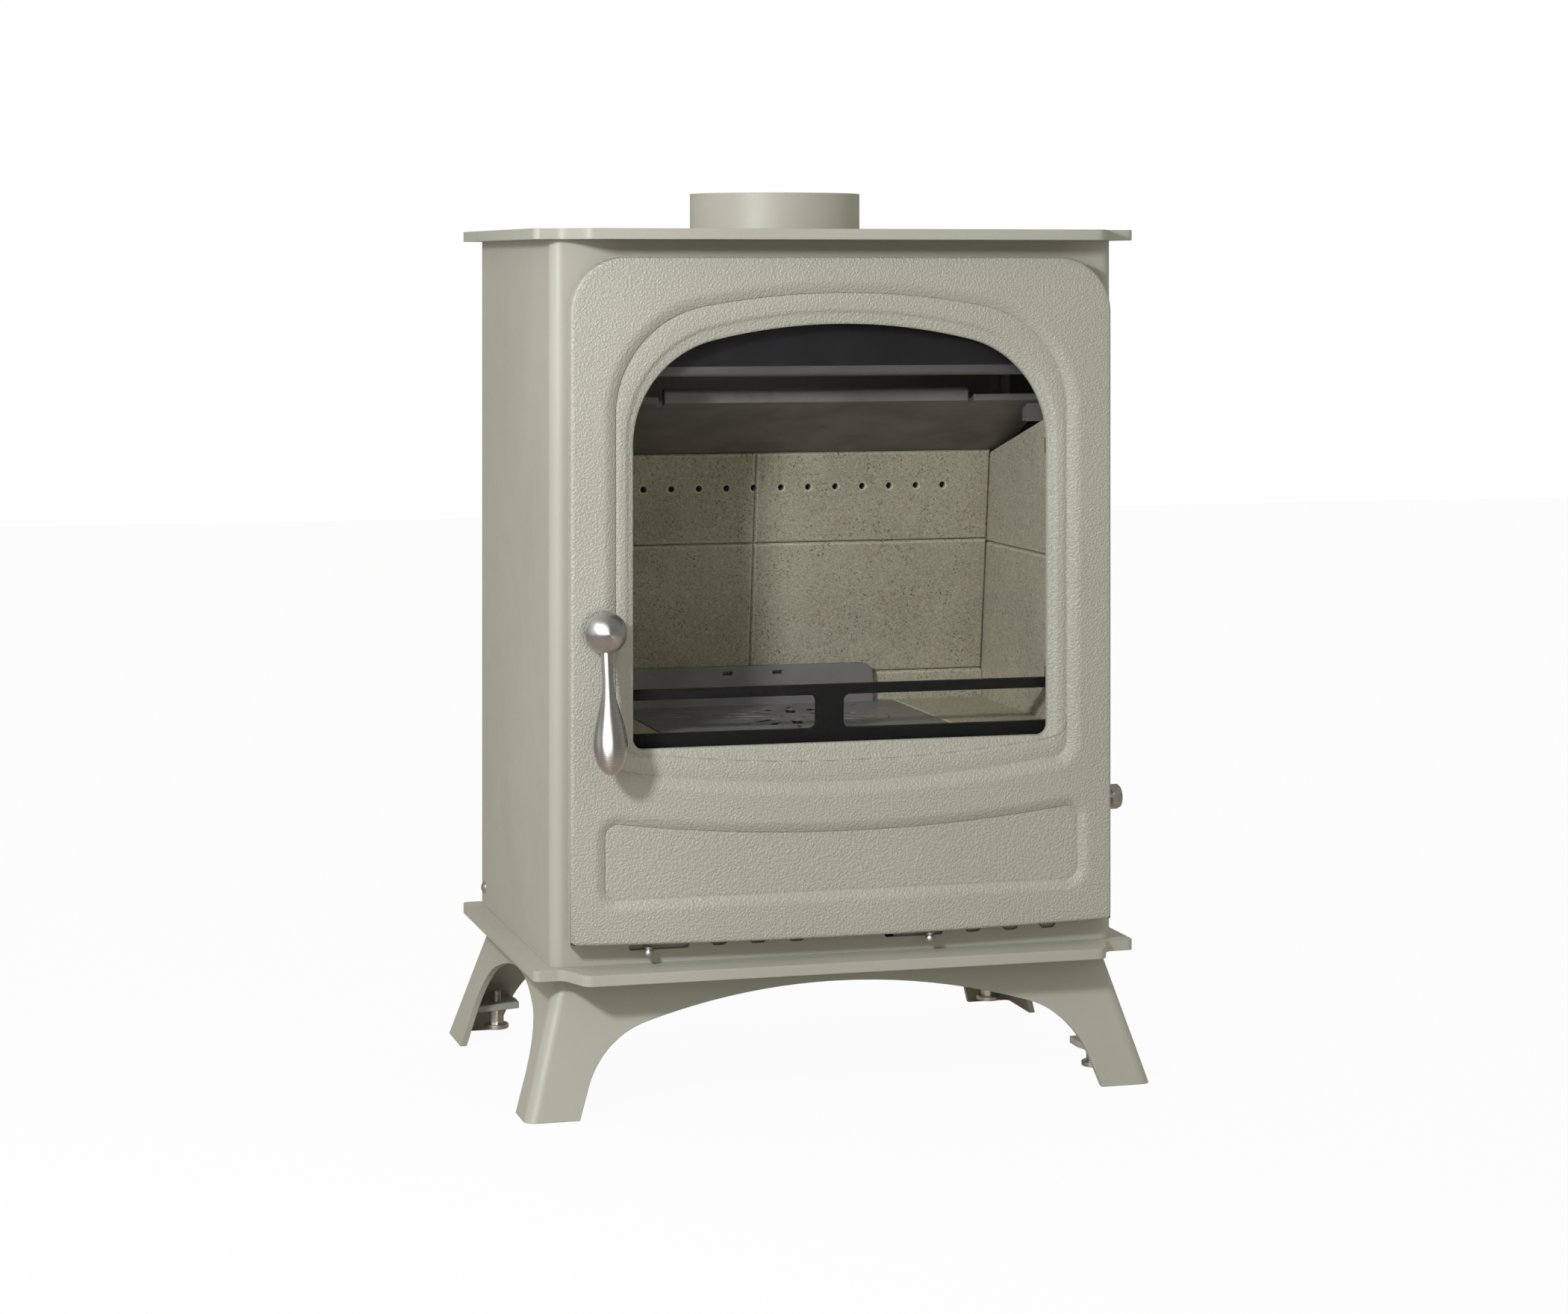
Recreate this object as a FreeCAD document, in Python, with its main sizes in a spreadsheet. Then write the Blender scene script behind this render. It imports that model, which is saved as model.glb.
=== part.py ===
import FreeCAD, Part
import math
import os
import Sketcher
from FreeCAD import Rotation, Vector

# Multi-fuel stove on a flared leg stand, in millimetres, +Z up.
# The origin is on the floor, midway between the two sides and between the front and rear toes.
# The door faces -Y. Heights inside the stove are counted from the deck, the base plate's top face.
# Depths are counted backwards from the body's front face.
SIZES = {
    # Body and its two plates
    "body_width": 440.0,
    "body_depth": 277.0,
    "body_height": 537.0,
    "casing_wall": 4.0,
    "casing_bend": 9.0,
    "base_plate_thick": 8.0,
    "top_plate_thick": 8.0,
    "plate_side_overhang": 14.3,
    "plate_front_overhang": 8.0,
    "plate_back_overhang": 9.9,
    "plate_bow": 27.7,
    "bow_head_setback": 19.0,
    "bow_root_setback": 8.0,
    "bow_radius": 8.0,
    "plate_corner_radius": 5.0,
    # Leg stand
    "leg_height": 100.0,
    "stand_wall": 5.0,
    "stand_bend": 9.0,
    "stand_inset": 6.0,
    "stand_inset_back": 11.0,
    "foot_side_reach": 23.5,
    "foot_front_reach": 23.0,
    "foot_back_reach": 27.5,
    "arch_drop": 13.0,
    "arch_crown_radius": 530.0,
    "arch_knee_half": 150.0,
    "arch_shoulder_radius": 69.0,
    "arch_heel_half": 196.0,
    "arch_heel_rise": 20.0,
    "arch_toe_half": 203.0,
    "side_arch_centre": 130.0,
    "side_arch_drop": 16.5,
    "side_arch_crown_radius": 215.0,
    "side_arch_knee_half": 70.0,
    "side_arch_shoulder_radius": 56.0,
    "side_arch_heel_half": 112.0,
    "side_arch_toe_half": 115.0,
    # Corner tabs and levelling feet
    "tab_level": 25.0,
    "tab_thick": 5.0,
    "tab_reach": 44.0,
    "tab_nose": 17.0,
    "foot_inset_side": 10.0,
    "foot_behind_front": 13.0,
    "foot_before_back": 9.0,
    "foot_clearance": 8.5,
    "foot_flange_radius": 10.0,
    "foot_flange_thick": 4.0,
    "foot_hex_flats": 11.0,
    "foot_hex_height": 11.5,
    "foot_stud_radius": 4.0,
    "foot_stud_top": 39.0,
    # Flue collar
    "collar_bore_radius": 64.0,
    "collar_wall": 4.0,
    "collar_height": 30.0,
    "collar_register": 2.0,
    "flue_depth": 181.0,
    # Door opening, air slots and holes of the casing
    "opening_half": 193.0,
    "opening_low": 36.0,
    "opening_high": 502.0,
    "opening_top_radius": 30.0,
    "opening_low_radius": 6.0,
    "rod_height": 101.0,
    "rod_radius": 5.0,
    "rod_clearance": 0.1,
    "rear_screw_height": 15.0,
    "rear_screw_depth": 265.0,
    # Door casting
    "door_half": 210.5,
    "door_offset": 2.0,
    "door_low": 18.8,
    "door_sag": 3.4,
    "door_high": 524.0,
    "door_corner_radius": 42.0,
    "door_gap": 1.7,
    "door_thick": 15.5,
    "door_edge_round": 2.0,
    "door_back_round": 4.0,
    "window_half": 162.0,
    "window_low": 160.0,
    "window_high": 474.0,
    "window_crown_radius": 430.0,
    "window_shoulder_radius": 80.0,
    "window_corner_radius": 8.0,
    "window_round": 5.0,
    "cove_stile": 26.2,
    "cove_low": 139.5,
    "cove_sag": 12.0,
    "cove_high": 505.5,
    "cove_crown_radius": 608.0,
    "cove_shoulder_radius": 90.0,
    "cove_corner_radius": 20.0,
    "cove_width": 8.0,
    "cove_depth": 5.0,
    "pillow_rise": 0.8,
    "pillow_corner_radius": 12.0,
    "panel_half": 191.0,
    "panel_low": 43.5,
    "panel_high": 113.0,
    "panel_dip": 12.0,
    "panel_corner_radius": 16.0,
    "panel_sill_width": 6.5,
    "panel_depth": 3.5,
    "hollow_rim": 24.0,
    "hollow_depth": 6.0,
    "hollow_corner_radius": 12.0,
    "glass_ring": 12.0,
    "glass_recess": 2.3,
    "groove_left": 200.0,
    "groove_right": 197.6,
    "groove_low": 29.0,
    "groove_high": 510.0,
    "groove_width": 6.4,
    "groove_depth": 4.9,
    "groove_top_radius": 30.0,
    "groove_low_radius": 8.0,
    "rope_radius": 3.0,
    "rope_gap": 0.3,
    # Hinges
    "hinge_side": 207.8,
    "hinge_depth": 8.5,
    "hinge_pin_radius": 2.5,
    "hinge_pin_reach": 14.0,
    "hinge_clearance": 0.05,
    "hinge_nose_radius": 4.8,
    "hinge_arm_half": 4.2,
    "hinge_lug_thick": 6.0,
    "hinge_lug_gap": 0.5,
    "hinge_notch_gap": 0.6,
    "hinge_low": 120.0,
    "hinge_high": 420.0,
    # Glass and what holds it
    "glass_margin": 9.0,
    "glass_thick": 4.0,
    "tape_width": 8.0,
    "tape_thick": 1.5,
    "glass_gap": 0.2,
    "clip_outset": 16.0,
    "clip_low": 205.0,
    "clip_high": 380.0,
    "clip_length": 20.0,
    "clip_width": 12.0,
    "clip_thick": 1.5,
    "clip_boss_radius": 6.0,
    "clip_screw_radius": 2.5,
    "clip_head_radius": 4.5,
    "clip_head_height": 3.0,
    "clip_screw_depth": 7.0,
    # Door handle and latch
    "handle_inset": 23.5,
    "handle_lift": 47.6,
    "handle_ball_radius": 15.0,
    "handle_ball_depth": 29.0,
    "handle_dimple_radius": 17.0,
    "handle_dimple_depth": 4.0,
    "spindle_radius": 5.0,
    "spindle_clearance": 0.08,
    "spindle_start": 24.0,
    "spindle_end": 15.8,
    "spindle_boss_radius": 7.0,
    "spindle_boss_rise": 6.4,
    "lever_tilt": 10.6,
    "lever_start": 14.6,
    "lever_tenon": 8.0,
    "lever_tenon_radius": 2.2,
    "lever_neck_radius": 3.3,
    "lever_waist": 40.0,
    "lever_waist_radius": 4.1,
    "lever_shoulder": 63.0,
    "lever_shoulder_radius": 9.0,
    "lever_belly": 82.0,
    "lever_belly_radius": 12.7,
    "lever_cheek": 97.0,
    "lever_cheek_radius": 8.0,
    "lever_end": 103.5,
    "lever_waist_bend": 66.0,
    "lever_shoulder_bend": 46.0,
    "lever_belly_bend": 24.0,
    "lever_end_bend": 9.5,
    "tongue_start": 5.0,
    "tongue_thick": 5.0,
    "tongue_half": 7.0,
    "tongue_back": 9.0,
    "tongue_reach": 24.0,
    "nut_gap": 0.1,
    "latch_nut_flats": 16.0,
    "latch_nut_thick": 5.0,
    # Air slides
    "slide_height": 12.4,
    "slide_low": 3.0,
    "slide_high": 20.0,
    "slide_gap": 0.3,
    "slide_thick": 2.0,
    "slide_arm_radius": 2.0,
    "slide_slot_radius": 2.2,
    "knob_radius": 3.6,
    "knob_depth": 9.0,
    "knob_level": 9.6,
    "knob_peg_radius": 2.3,
    "knob_peg_top": 14.8,
    "port_level": 14.6,
    "port_half": 6.5,
    "port_radius": 3.6,
    "port_pitch": 30.0,
    "primary_pin": -148.2,
    "primary_slot_left": -161.2,
    "primary_slot_right": -115.2,
    "primary_left": -172.0,
    "primary_right": -17.0,
    "primary_port": -92.0,
    "airwash_pin": 69.8,
    "airwash_slot_left": 36.8,
    "airwash_slot_right": 82.8,
    "airwash_left": 45.0,
    "airwash_right": 187.0,
    "airwash_port": 107.0,
    "guide_half": 200.0,
    "guide_depth": 5.0,
    "guide_lip": 2.3,
    # Back panel, side channels and the rear air box
    "panel_sheet": 3.0,
    "back_flange": 24.0,
    "sheet_gap": 0.2,
    "inlet_radius": 7.0,
    "inlet_pitch": 40.0,
    "inlet_count": 5,
    "channel_front": 75.0,
    "channel_back": 200.0,
    "channel_depth": 10.3,
    "channel_sheet": 1.5,
    "channel_high": 520.0,
    "channel_vent_low": 440.0,
    "box_low": 306.0,
    "box_high": 362.0,
    "box_half": 170.0,
    "box_sheet": 2.0,
    # Shelves
    "ash_shelf_top": 36.4,
    "ash_shelf_thick": 3.0,
    "ash_shelf_flange": 14.0,
    "ash_slot_half": 60.0,
    "ash_slot_width": 12.0,
    "ash_slot_depth": 255.0,
    "fire_shelf_top": 150.0,
    "fire_shelf_thick": 4.0,
    "fire_shelf_front": 20.5,
    "fire_shelf_half": 212.0,
    "fire_shelf_bracket": 14.0,
    "ledge_level": 369.1,
    "ledge_thick": 3.0,
    "ledge_half": 204.5,
    "ledge_front": 183.5,
    "ledge_flange": 6.0,
    "bracket_sheet": 3.0,
    "shelf_hole_front": 30.0,
    "shelf_hole_back": 164.0,
    "shelf_hole_margin": 14.0,
    # Grate
    "grate_left": 130.0,
    "grate_right": 97.0,
    "grate_front": 17.0,
    "grate_back": 179.5,
    "grate_top": 167.0,
    "grate_corner_radius": 4.0,
    "upstand_height": 31.0,
    "upstand_thick": 6.0,
    "upstand_right": 80.0,
    "upstand_radius": 10.0,
    "upstand_slot_half": 4.0,
    "upstand_slot_height": 3.0,
    "upstand_slot_level": 191.0,
    "upstand_slot_first": -41.0,
    "upstand_slot_second": 0.0,
    "disc_depth": 95.5,
    "disc_radius": 74.5,
    "disc_thick": 8.0,
    "disc_gap": 0.5,
    "disc_rest": 0.2,
    "disc_seat": 8.0,
    "outer_slot_radius": 56.0,
    "outer_slot_half": 6.0,
    "inner_slot_radius": 33.0,
    "inner_slot_half": 12.0,
    "slot_wide_radius": 4.0,
    "slot_middle_radius": 3.4,
    "slot_narrow_radius": 1.8,
    "middle_slot_radius": 46.0,
    "middle_slot_half": 5.0,
    "slot_turn": 34.0,
    "disc_dot_radius": 1.3,
    "disc_dot_place": 59.0,
    "disc_dot_turn": 9.0,
    "hub_groove_inner": 9.0,
    "hub_groove_outer": 10.6,
    "hub_groove_depth": 0.8,
    "disc_side": -8.0,
    "inner_slot_count": 8,
    "frame_slot_half": 7.0,
    "frame_slot_round": 1.6,
    "frame_slot_near": 87.0,
    "frame_slot_far": 109.0,
    # Riddling gear
    "crank_radius": 43.5,
    "crank_pin_radius": 4.0,
    "crank_pin_low": 94.5,
    "rod_eye_half": 14.0,
    "rod_eye_thick": 5.0,
    "rod_eye_slot_radius": 4.5,
    "rod_eye_slot_reach": 3.4,
    "rod_end": 237.0,
    "hex_flats": 17.0,
    "hex_length": 8.0,
    "rod_guide_place": 120.0,
    "rod_guide_thick": 4.0,
    "rod_guide_half": 12.0,
    "rod_guide_low": 92.5,
    # Fire bricks
    "brick_side": 175.0,
    "brick_thick": 30.0,
    "back_brick_thick": 25.0,
    "brick_gap": 0.5,
    "brick_chamfer": 1.5,
    "side_brick_front": 21.0,
    "side_brick_back": 213.0,
    "side_brick_split": 294.0,
    "side_brick_rear_top": 367.0,
    "side_brick_front_top": 402.0,
    "back_brick_low": 190.0,
    "back_brick_high": 368.8,
    "back_brick_foot": 181.0,
    "back_brick_head": 158.0,
    "back_brick_split": 296.5,
    "back_brick_joint": -21.0,
    "air_hole_radius": 2.6,
    "air_hole_pitch": 22.5,
    "air_hole_count": 13,
    "air_hole_level": 341.0,
    "side_brick_bend": 163.0,
    "floor_brick_back": 207.0,
    "floor_brick_front": 180.0,
    # Log guard
    "guard_front": 10.0,
    "guard_thick": 6.0,
    "guard_half": 198.0,
    "guard_low": 152.4,
    "guard_high": 201.4,
    "guard_top_bar": 7.6,
    "guard_low_bar": 16.0,
    "guard_post_half": 10.5,
    "guard_post_centre": -3.0,
    "guard_end": 14.0,
    "guard_corner_radius": 5.0,
    "keeper_inner": 190.5,
    "keeper_outer": 205.0,
    "keeper_back": 19.5,
    "keeper_slot_end": 199.0,
    "keeper_low": 150.0,
    "keeper_high": 186.0,
    "keeper_floor": 2.2,
    "keeper_gap": 0.4,
    # Throat plate and airwash plate
    "throat_thick": 5.0,
    "throat_half": 186.0,
    "throat_rest": 0.3,
    "throat_heel_back": 181.0,
    "throat_heel": 160.0,
    "throat_tip": 54.0,
    "throat_tip_level": 413.0,
    "lip_half": 121.0,
    "lip_depth": 8.0,
    "lip_height": 10.5,
    "lip_round": 3.5,
    "lip_notch": 5.0,
    "lip_notch_depth": 7.0,
    "lug_front": 60.0,
    "lug_back": 72.0,
    "lug_height": 9.0,
    "lug_reach": 44.0,
    "lug_level": 396.0,
    "wash_front": 9.0,
    "wash_thick": 3.0,
    "wash_low": 437.3,
    "wash_hem_radius": 3.0,
    "wash_flange": 20.0,
    # Ash pan
    "pan_half": 160.0,
    "pan_front": 24.0,
    "pan_back": 236.0,
    "pan_low": 36.8,
    "pan_high": 89.0,
    "pan_wall": 2.0,
    "pan_radius": 8.0,
    "rail_gap": 2.0,
    "rail_thick": 2.5,
    "rail_height": 14.0,
    "pull_half": 36.0,
    "pull_reach": 15.0,
    "pull_thick": 4.0,
    "pull_low": 62.0,
    "pull_height": 11.0,
    # Fasteners of the casing
    "casing_screw_radius": 2.5,
    "casing_head_radius": 5.2,
    "casing_head_height": 3.0,
    "casing_screw_length": 11.0,
    # Making allowances
    "overrun": 2.0,
    "weld_gap": 0.3,
}

RIGHT_ANGLE = 90.0
WHOLE_TURN = 360.0
FULL_HEIGHT_SHARE = 1.0

doc = FreeCAD.newDocument("multi_fuel_stove")
sheet = doc.addObject("Spreadsheet::Sheet", "sizes")
for row, (alias, value) in enumerate(SIZES.items(), start=1):
    sheet.set("A%d" % row, alias)
    sheet.set("B%d" % row, str(value))
    sheet.setAlias("B%d" % row, alias)
doc.recompute()


class Size:
    """A length of the stove: its number now, and the sheet expression that it follows."""

    def __init__(self, number, text):
        self.number = float(number)
        self.text = text

    def __add__(self, other):
        other = as_size(other)
        return Size(self.number + other.number, "(%s + %s)" % (self.text, other.text))

    def __sub__(self, other):
        other = as_size(other)
        return Size(self.number - other.number, "(%s - %s)" % (self.text, other.text))

    def __mul__(self, other):
        other = as_size(other)
        return Size(self.number * other.number, "(%s * %s)" % (self.text, other.text))

    def __truediv__(self, other):
        other = as_size(other)
        return Size(self.number / other.number, "(%s / %s)" % (self.text, other.text))

    def __neg__(self):
        return Size(-self.number, "(0 - %s)" % self.text)

    __radd__ = __add__


class Sheet:
    """The sheet's cells, read by name as sizes."""

    def __getattr__(self, name):
        return Size(SIZES[name], "sizes." + name)


def as_size(value):
    """A plain number as a size."""
    return value if isinstance(value, Size) else Size(value, repr(value))


def root_of(size):
    """Square root of a size."""
    return Size(math.sqrt(size.number), "sqrt(%s)" % size.text)


def tan_of(angle):
    """Tangent of an angle in degrees."""
    return Size(math.tan(math.radians(angle.number)), "tan(%s)" % angle.text)


def cos_of(angle):
    """Cosine of an angle in degrees."""
    return Size(math.cos(math.radians(angle.number)), "cos(%s)" % angle.text)


def sin_of(angle):
    """Sine of an angle in degrees."""
    return Size(math.sin(math.radians(angle.number)), "sin(%s)" % angle.text)


d = Sheet()
NIL = as_size(0)
half = d.body_width / 2
front = -((d.body_depth + d.foot_back_reach - d.foot_front_reach) / 2)
back = front + d.body_depth
deck = d.leg_height + d.base_plate_thick
roof = deck + d.body_height
inner = half - d.casing_wall
subparts = []


def bind(thing, field, size):
    """Make a field of an object follow a size."""
    thing.setExpression(field, as_size(size).text)


def place(thing, x=NIL, y=NIL, z=NIL):
    """Bind the place of an object."""
    for axis, size in zip("xyz", (x, y, z)):
        bind(thing, "Placement.Base." + axis, size)
    return thing


def keep(thing, name):
    """List an object as a sub-part under its own name."""
    thing.Label = name
    subparts.append(thing)
    return thing


def box(name, low, high):
    """A block between two opposite corners."""
    piece = doc.addObject("Part::Box", name)
    for field, start, end in zip(("Length", "Width", "Height"), low, high):
        bind(piece, field, end - start)
    return place(piece, *low)


def rod(name, axis, start, radius, length):
    """A round bar that runs from its start along +X, +Y or +Z."""
    turns = {
        "x": Rotation(Vector(0, 1, 0), RIGHT_ANGLE),
        "y": Rotation(Vector(1, 0, 0), -RIGHT_ANGLE),
        "z": Rotation(),
    }
    piece = doc.addObject("Part::Cylinder", name)
    piece.Placement.Rotation = turns[axis]
    bind(piece, "Radius", radius)
    bind(piece, "Height", length)
    return place(piece, *start)


def fuse(name, pieces):
    """One solid out of several that meet."""
    joined = doc.addObject("Part::MultiFuse", name)
    joined.Shapes = pieces
    joined.Refine = True
    return joined


def cut(name, base, tools):
    """A solid less its tools."""
    tool = tools[0]
    if len(tools) > 1:
        tool = fuse(name + "_tools", tools)
    piece = doc.addObject("Part::Cut", name)
    piece.Base = base
    piece.Tool = tool
    return piece


def group(name, pieces):
    """Several separate solids as one sub-part."""
    together = doc.addObject("Part::Compound", name)
    together.Links = pieces
    return together


def new_body(name):
    """An empty body for a sub-part."""
    return doc.addObject("PartDesign::Body", name)


def sketch(body, role, level=NIL):
    """A sketch on one of the body's origin planes, at a level along that plane's normal."""
    plane = [item for item in body.Origin.OriginFeatures if item.Role == role][0]
    drawing = body.newObject("Sketcher::SketchObject", body.Name + "_sketch")
    drawing.AttachmentSupport = [(plane, "")]
    drawing.MapMode = "FlatFace"
    bind(drawing, ".AttachmentOffset.Base.z", level)
    return drawing


def pin_point(drawing, edge, end, x, y):
    """Hold an end of an edge at a point given in sizes."""
    for kind, size, line in (("DistanceX", x, -2), ("DistanceY", y, -1)):
        if size.text == "0":
            drawing.addConstraint(Sketcher.Constraint("PointOnObject", edge, end, line))
        else:
            index = drawing.addConstraint(
                Sketcher.Constraint(kind, -1, 1, edge, end, size.number)
            )
            bind(drawing, "Constraints[%d]" % index, size)


def arc_between(first, last, radius, turn):
    """The short arc from first to last that bends left (turn 1) or right (turn -1)."""
    chord = last - first
    rise = math.sqrt(max(radius * radius - chord.Length * chord.Length / 4, 0.0))
    left = Vector(-chord.y, chord.x, 0).normalize()
    centre = first + chord / 2 + left * rise * turn
    begin, finish = (first, last) if turn > 0 else (last, first)
    angles = [math.atan2(p.y - centre.y, p.x - centre.x) for p in (begin, finish)]
    if angles[1] < angles[0]:
        angles[1] += 2 * math.pi
    return Part.ArcOfCircle(Part.Circle(centre, Vector(0, 0, 1), radius), *angles)


def outline(drawing, corners):
    """A closed outline. A corner is (x, y), or (x, y, radius, turn) where an arc arrives at it."""
    corners = [tuple(as_size(v) for v in c[:3]) + tuple(c[3:]) for c in corners]
    edges = []
    for index, corner in enumerate(corners):
        before = corners[index - 1]
        first = Vector(before[0].number, before[1].number, 0)
        last = Vector(corner[0].number, corner[1].number, 0)
        if len(corner) == 2:
            edge = drawing.addGeometry(Part.LineSegment(first, last), False)
            edges.append((edge, 1, 2))
            continue
        radius, turn = corner[2], corner[3]
        edge = drawing.addGeometry(arc_between(first, last, radius.number, turn), False)
        edges.append((edge, 1, 2) if turn > 0 else (edge, 2, 1))
    for index, (edge, entry, leave) in enumerate(edges):
        after, after_entry, _ = edges[(index + 1) % len(edges)]
        drawing.addConstraint(Sketcher.Constraint("Coincident", edge, leave, after, after_entry))
        pin_point(drawing, edge, leave, corners[index][0], corners[index][1])
        if len(corners[index]) > 2:
            radius = corners[index][2]
            place_of = drawing.addConstraint(Sketcher.Constraint("Radius", edge, radius.number))
            bind(drawing, "Constraints[%d]" % place_of, radius)


def circle(drawing, x, y, radius):
    """A full circle."""
    x, y = as_size(x), as_size(y)
    ring = Part.Circle(Vector(x.number, y.number, 0), Vector(0, 0, 1), radius.number)
    edge = drawing.addGeometry(ring, False)
    pin_point(drawing, edge, 3, x, y)
    index = drawing.addConstraint(Sketcher.Constraint("Radius", edge, radius.number))
    bind(drawing, "Constraints[%d]" % index, radius)


def rectangle(x1, x2, y1, y2):
    """The corners of an upright rectangle."""
    return [(x1, y1), (x2, y1), (x2, y2), (x1, y2)]


def round_box(x1, x2, y1, y2, low_radius, high_radius):
    """A rectangle with rounded lower and upper corners."""
    return [
        (x1, y1 + low_radius),
        (x1 + low_radius, y1, low_radius, 1),
        (x2 - low_radius, y1),
        (x2, y1 + low_radius, low_radius, 1),
        (x2, y2 - high_radius),
        (x2 - high_radius, y2, high_radius, 1),
        (x1 + high_radius, y2),
        (x1, y2 - high_radius, high_radius, 1),
    ]


def long_slot(x1, x2, y, radius):
    """A slot with round ends between two end centres, along the drawing's first axis."""
    return [
        (x2, y - radius),
        (x2 + radius, y, radius, 1),
        (x2, y + radius, radius, 1),
        (x1, y + radius),
        (x1 - radius, y, radius, 1),
        (x1, y - radius, radius, 1),
    ]


def pad(body, drawing, length, back_way=False):
    """Raise a drawing along its normal, or the other way."""
    feature = body.newObject("PartDesign::Pad", body.Name + "_pad")
    feature.Profile = drawing
    feature.Reversed = back_way
    bind(feature, "Length", length)
    return feature


def pocket(body, drawing, length, back_way=False):
    """Sink a drawing against its normal, or the other way."""
    feature = body.newObject("PartDesign::Pocket", body.Name + "_pocket")
    feature.Profile = drawing
    feature.Reversed = back_way
    bind(feature, "Length", length)
    return feature


def edges_where(body, test):
    """Names of the tip's edges that pass a test on their two end points and their length."""
    doc.recompute()
    names = []
    for index, edge in enumerate(body.Tip.Shape.Edges, start=1):
        ends = [vertex.Point for vertex in edge.Vertexes]
        if len(ends) == 2 and test(ends[0], ends[1], edge):
            names.append("Edge%d" % index)
    return names


def round_edges(body, radius, test):
    """Fillet the tip's edges that pass a test."""
    names = edges_where(body, test)
    base = body.Tip
    feature = body.newObject("PartDesign::Fillet", body.Name + "_fillet")
    feature.Base = (base, names)
    bind(feature, "Radius", radius)
    return feature


def bevel_edges(body, size, test):
    """Chamfer the tip's edges that pass a test."""
    names = edges_where(body, test)
    base = body.Tip
    feature = body.newObject("PartDesign::Chamfer", body.Name + "_chamfer")
    feature.Base = (base, names)
    bind(feature, "Size", size)
    return feature


def near(a, b):
    """Whether two numbers agree for an edge test."""
    return abs(a - b) < Part.Precision.confusion() * 1000


def upright_at(points):
    """A test for upright edges over given plan points."""
    spots = [(as_size(x).number, as_size(y).number) for x, y in points]

    def test(a, b, _edge):
        upright = near(a.x, b.x) and near(a.y, b.y)
        return upright and any(near(a.x, x) and near(a.y, y) for x, y in spots)

    return test


def slab(name, role, level, corners, thick, back_way=False):
    """A body that is one padded outline."""
    body = new_body(name)
    drawing = sketch(body, role, level)
    outline(drawing, corners)
    pad(body, drawing, thick, back_way)
    return body


def arch(half_width, low, high, crown_radius, shoulder_radius):
    """Spring level and shoulder point of a three-centred arch."""
    crown_centre = high - crown_radius
    spread = crown_radius - shoulder_radius
    inset = half_width - shoulder_radius
    drop = root_of(spread * spread - inset * inset)
    share = crown_radius / spread
    return crown_centre + drop, inset * share, crown_centre + drop * share


def arch_outline(offset, half_width, low, high, crown_radius, shoulder_radius, grow, corner, sag):
    """A round-shouldered opening, grown outwards, with rounded lower corners and a sagging sill."""
    centre = offset
    wide = half_width + grow
    low = low - grow
    spring, tip_x, tip_z = arch(
        wide, low, high + grow, crown_radius + grow, shoulder_radius + grow
    )
    corners = [
        (centre - wide, low + corner),
        (centre - wide + corner, low, corner, 1),
    ]
    if sag is None:
        corners.append((centre + wide - corner, low))
    else:
        chord = wide - corner
        bend = (chord * chord + sag * sag) / (sag * 2)
        corners.append((centre + wide - corner, low, bend, 1))
    corners += [
        (centre + wide, low + corner, corner, 1),
        (centre + wide, spring),
        (centre + tip_x, tip_z, shoulder_radius + grow, 1),
        (centre - tip_x, tip_z, crown_radius + grow, 1),
        (centre - wide, spring, shoulder_radius + grow, 1),
    ]
    return corners


def plate_outline():
    """Plan of the top and base plates: a rectangle whose front bows out between S-curves."""
    wide = half + d.plate_side_overhang
    near_edge = front - d.plate_front_overhang
    bow = near_edge - d.plate_bow
    head = half - d.bow_head_setback
    root = half - d.bow_root_setback
    return [
        (-wide, back + d.plate_back_overhang),
        (-wide, near_edge),
        (-root, near_edge),
        (-head, bow),
        (head, bow),
        (root, near_edge),
        (wide, near_edge),
        (wide, back + d.plate_back_overhang),
    ]


def bowed_plate(name, level, thick):
    """A top or base plate with its rounded corners."""
    corners = plate_outline()
    body = slab(name, "XY_Plane", level, corners, thick)
    outer = [corners[index] for index in (0, 1, 6, 7)]
    bow = [corners[index] for index in (2, 3, 4, 5)]
    round_edges(body, d.plate_corner_radius, upright_at(outer))
    round_edges(body, d.bow_radius, upright_at(bow))
    return body


def make_base_plate():
    """Base plate between the stand and the body."""
    keep(bowed_plate("base_plate", d.leg_height, d.base_plate_thick), "base_plate")


def make_top_plate():
    """Top plate with the flue hole."""
    body = bowed_plate("top_plate", roof, d.top_plate_thick)
    drawing = sketch(body, "XY_Plane", roof + d.top_plate_thick)
    circle(drawing, NIL, front + d.flue_depth, d.collar_bore_radius + d.collar_register + d.weld_gap)
    pocket(body, drawing, d.top_plate_thick + d.overrun)
    keep(body, "top_plate")


def make_flue_collar():
    """Turned collar: a spigot with a register that drops into the top plate's hole."""
    body = new_body("flue_collar")
    drawing = sketch(body, "XZ_Plane")
    bore = d.collar_bore_radius
    seat = roof + d.top_plate_thick
    outline(drawing, [
        (bore, roof + d.weld_gap),
        (bore + d.collar_register, roof + d.weld_gap),
        (bore + d.collar_register, seat),
        (bore + d.collar_wall, seat),
        (bore + d.collar_wall, seat + d.collar_height),
        (bore, seat + d.collar_height),
    ])
    turned = body.newObject("PartDesign::Revolution", "flue_collar_turned")
    turned.Profile = drawing
    turned.ReferenceAxis = (drawing, ["V_Axis"])
    turned.Angle = WHOLE_TURN
    place(body, NIL, front + d.flue_depth, NIL)
    keep(body, "flue_collar")


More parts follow.
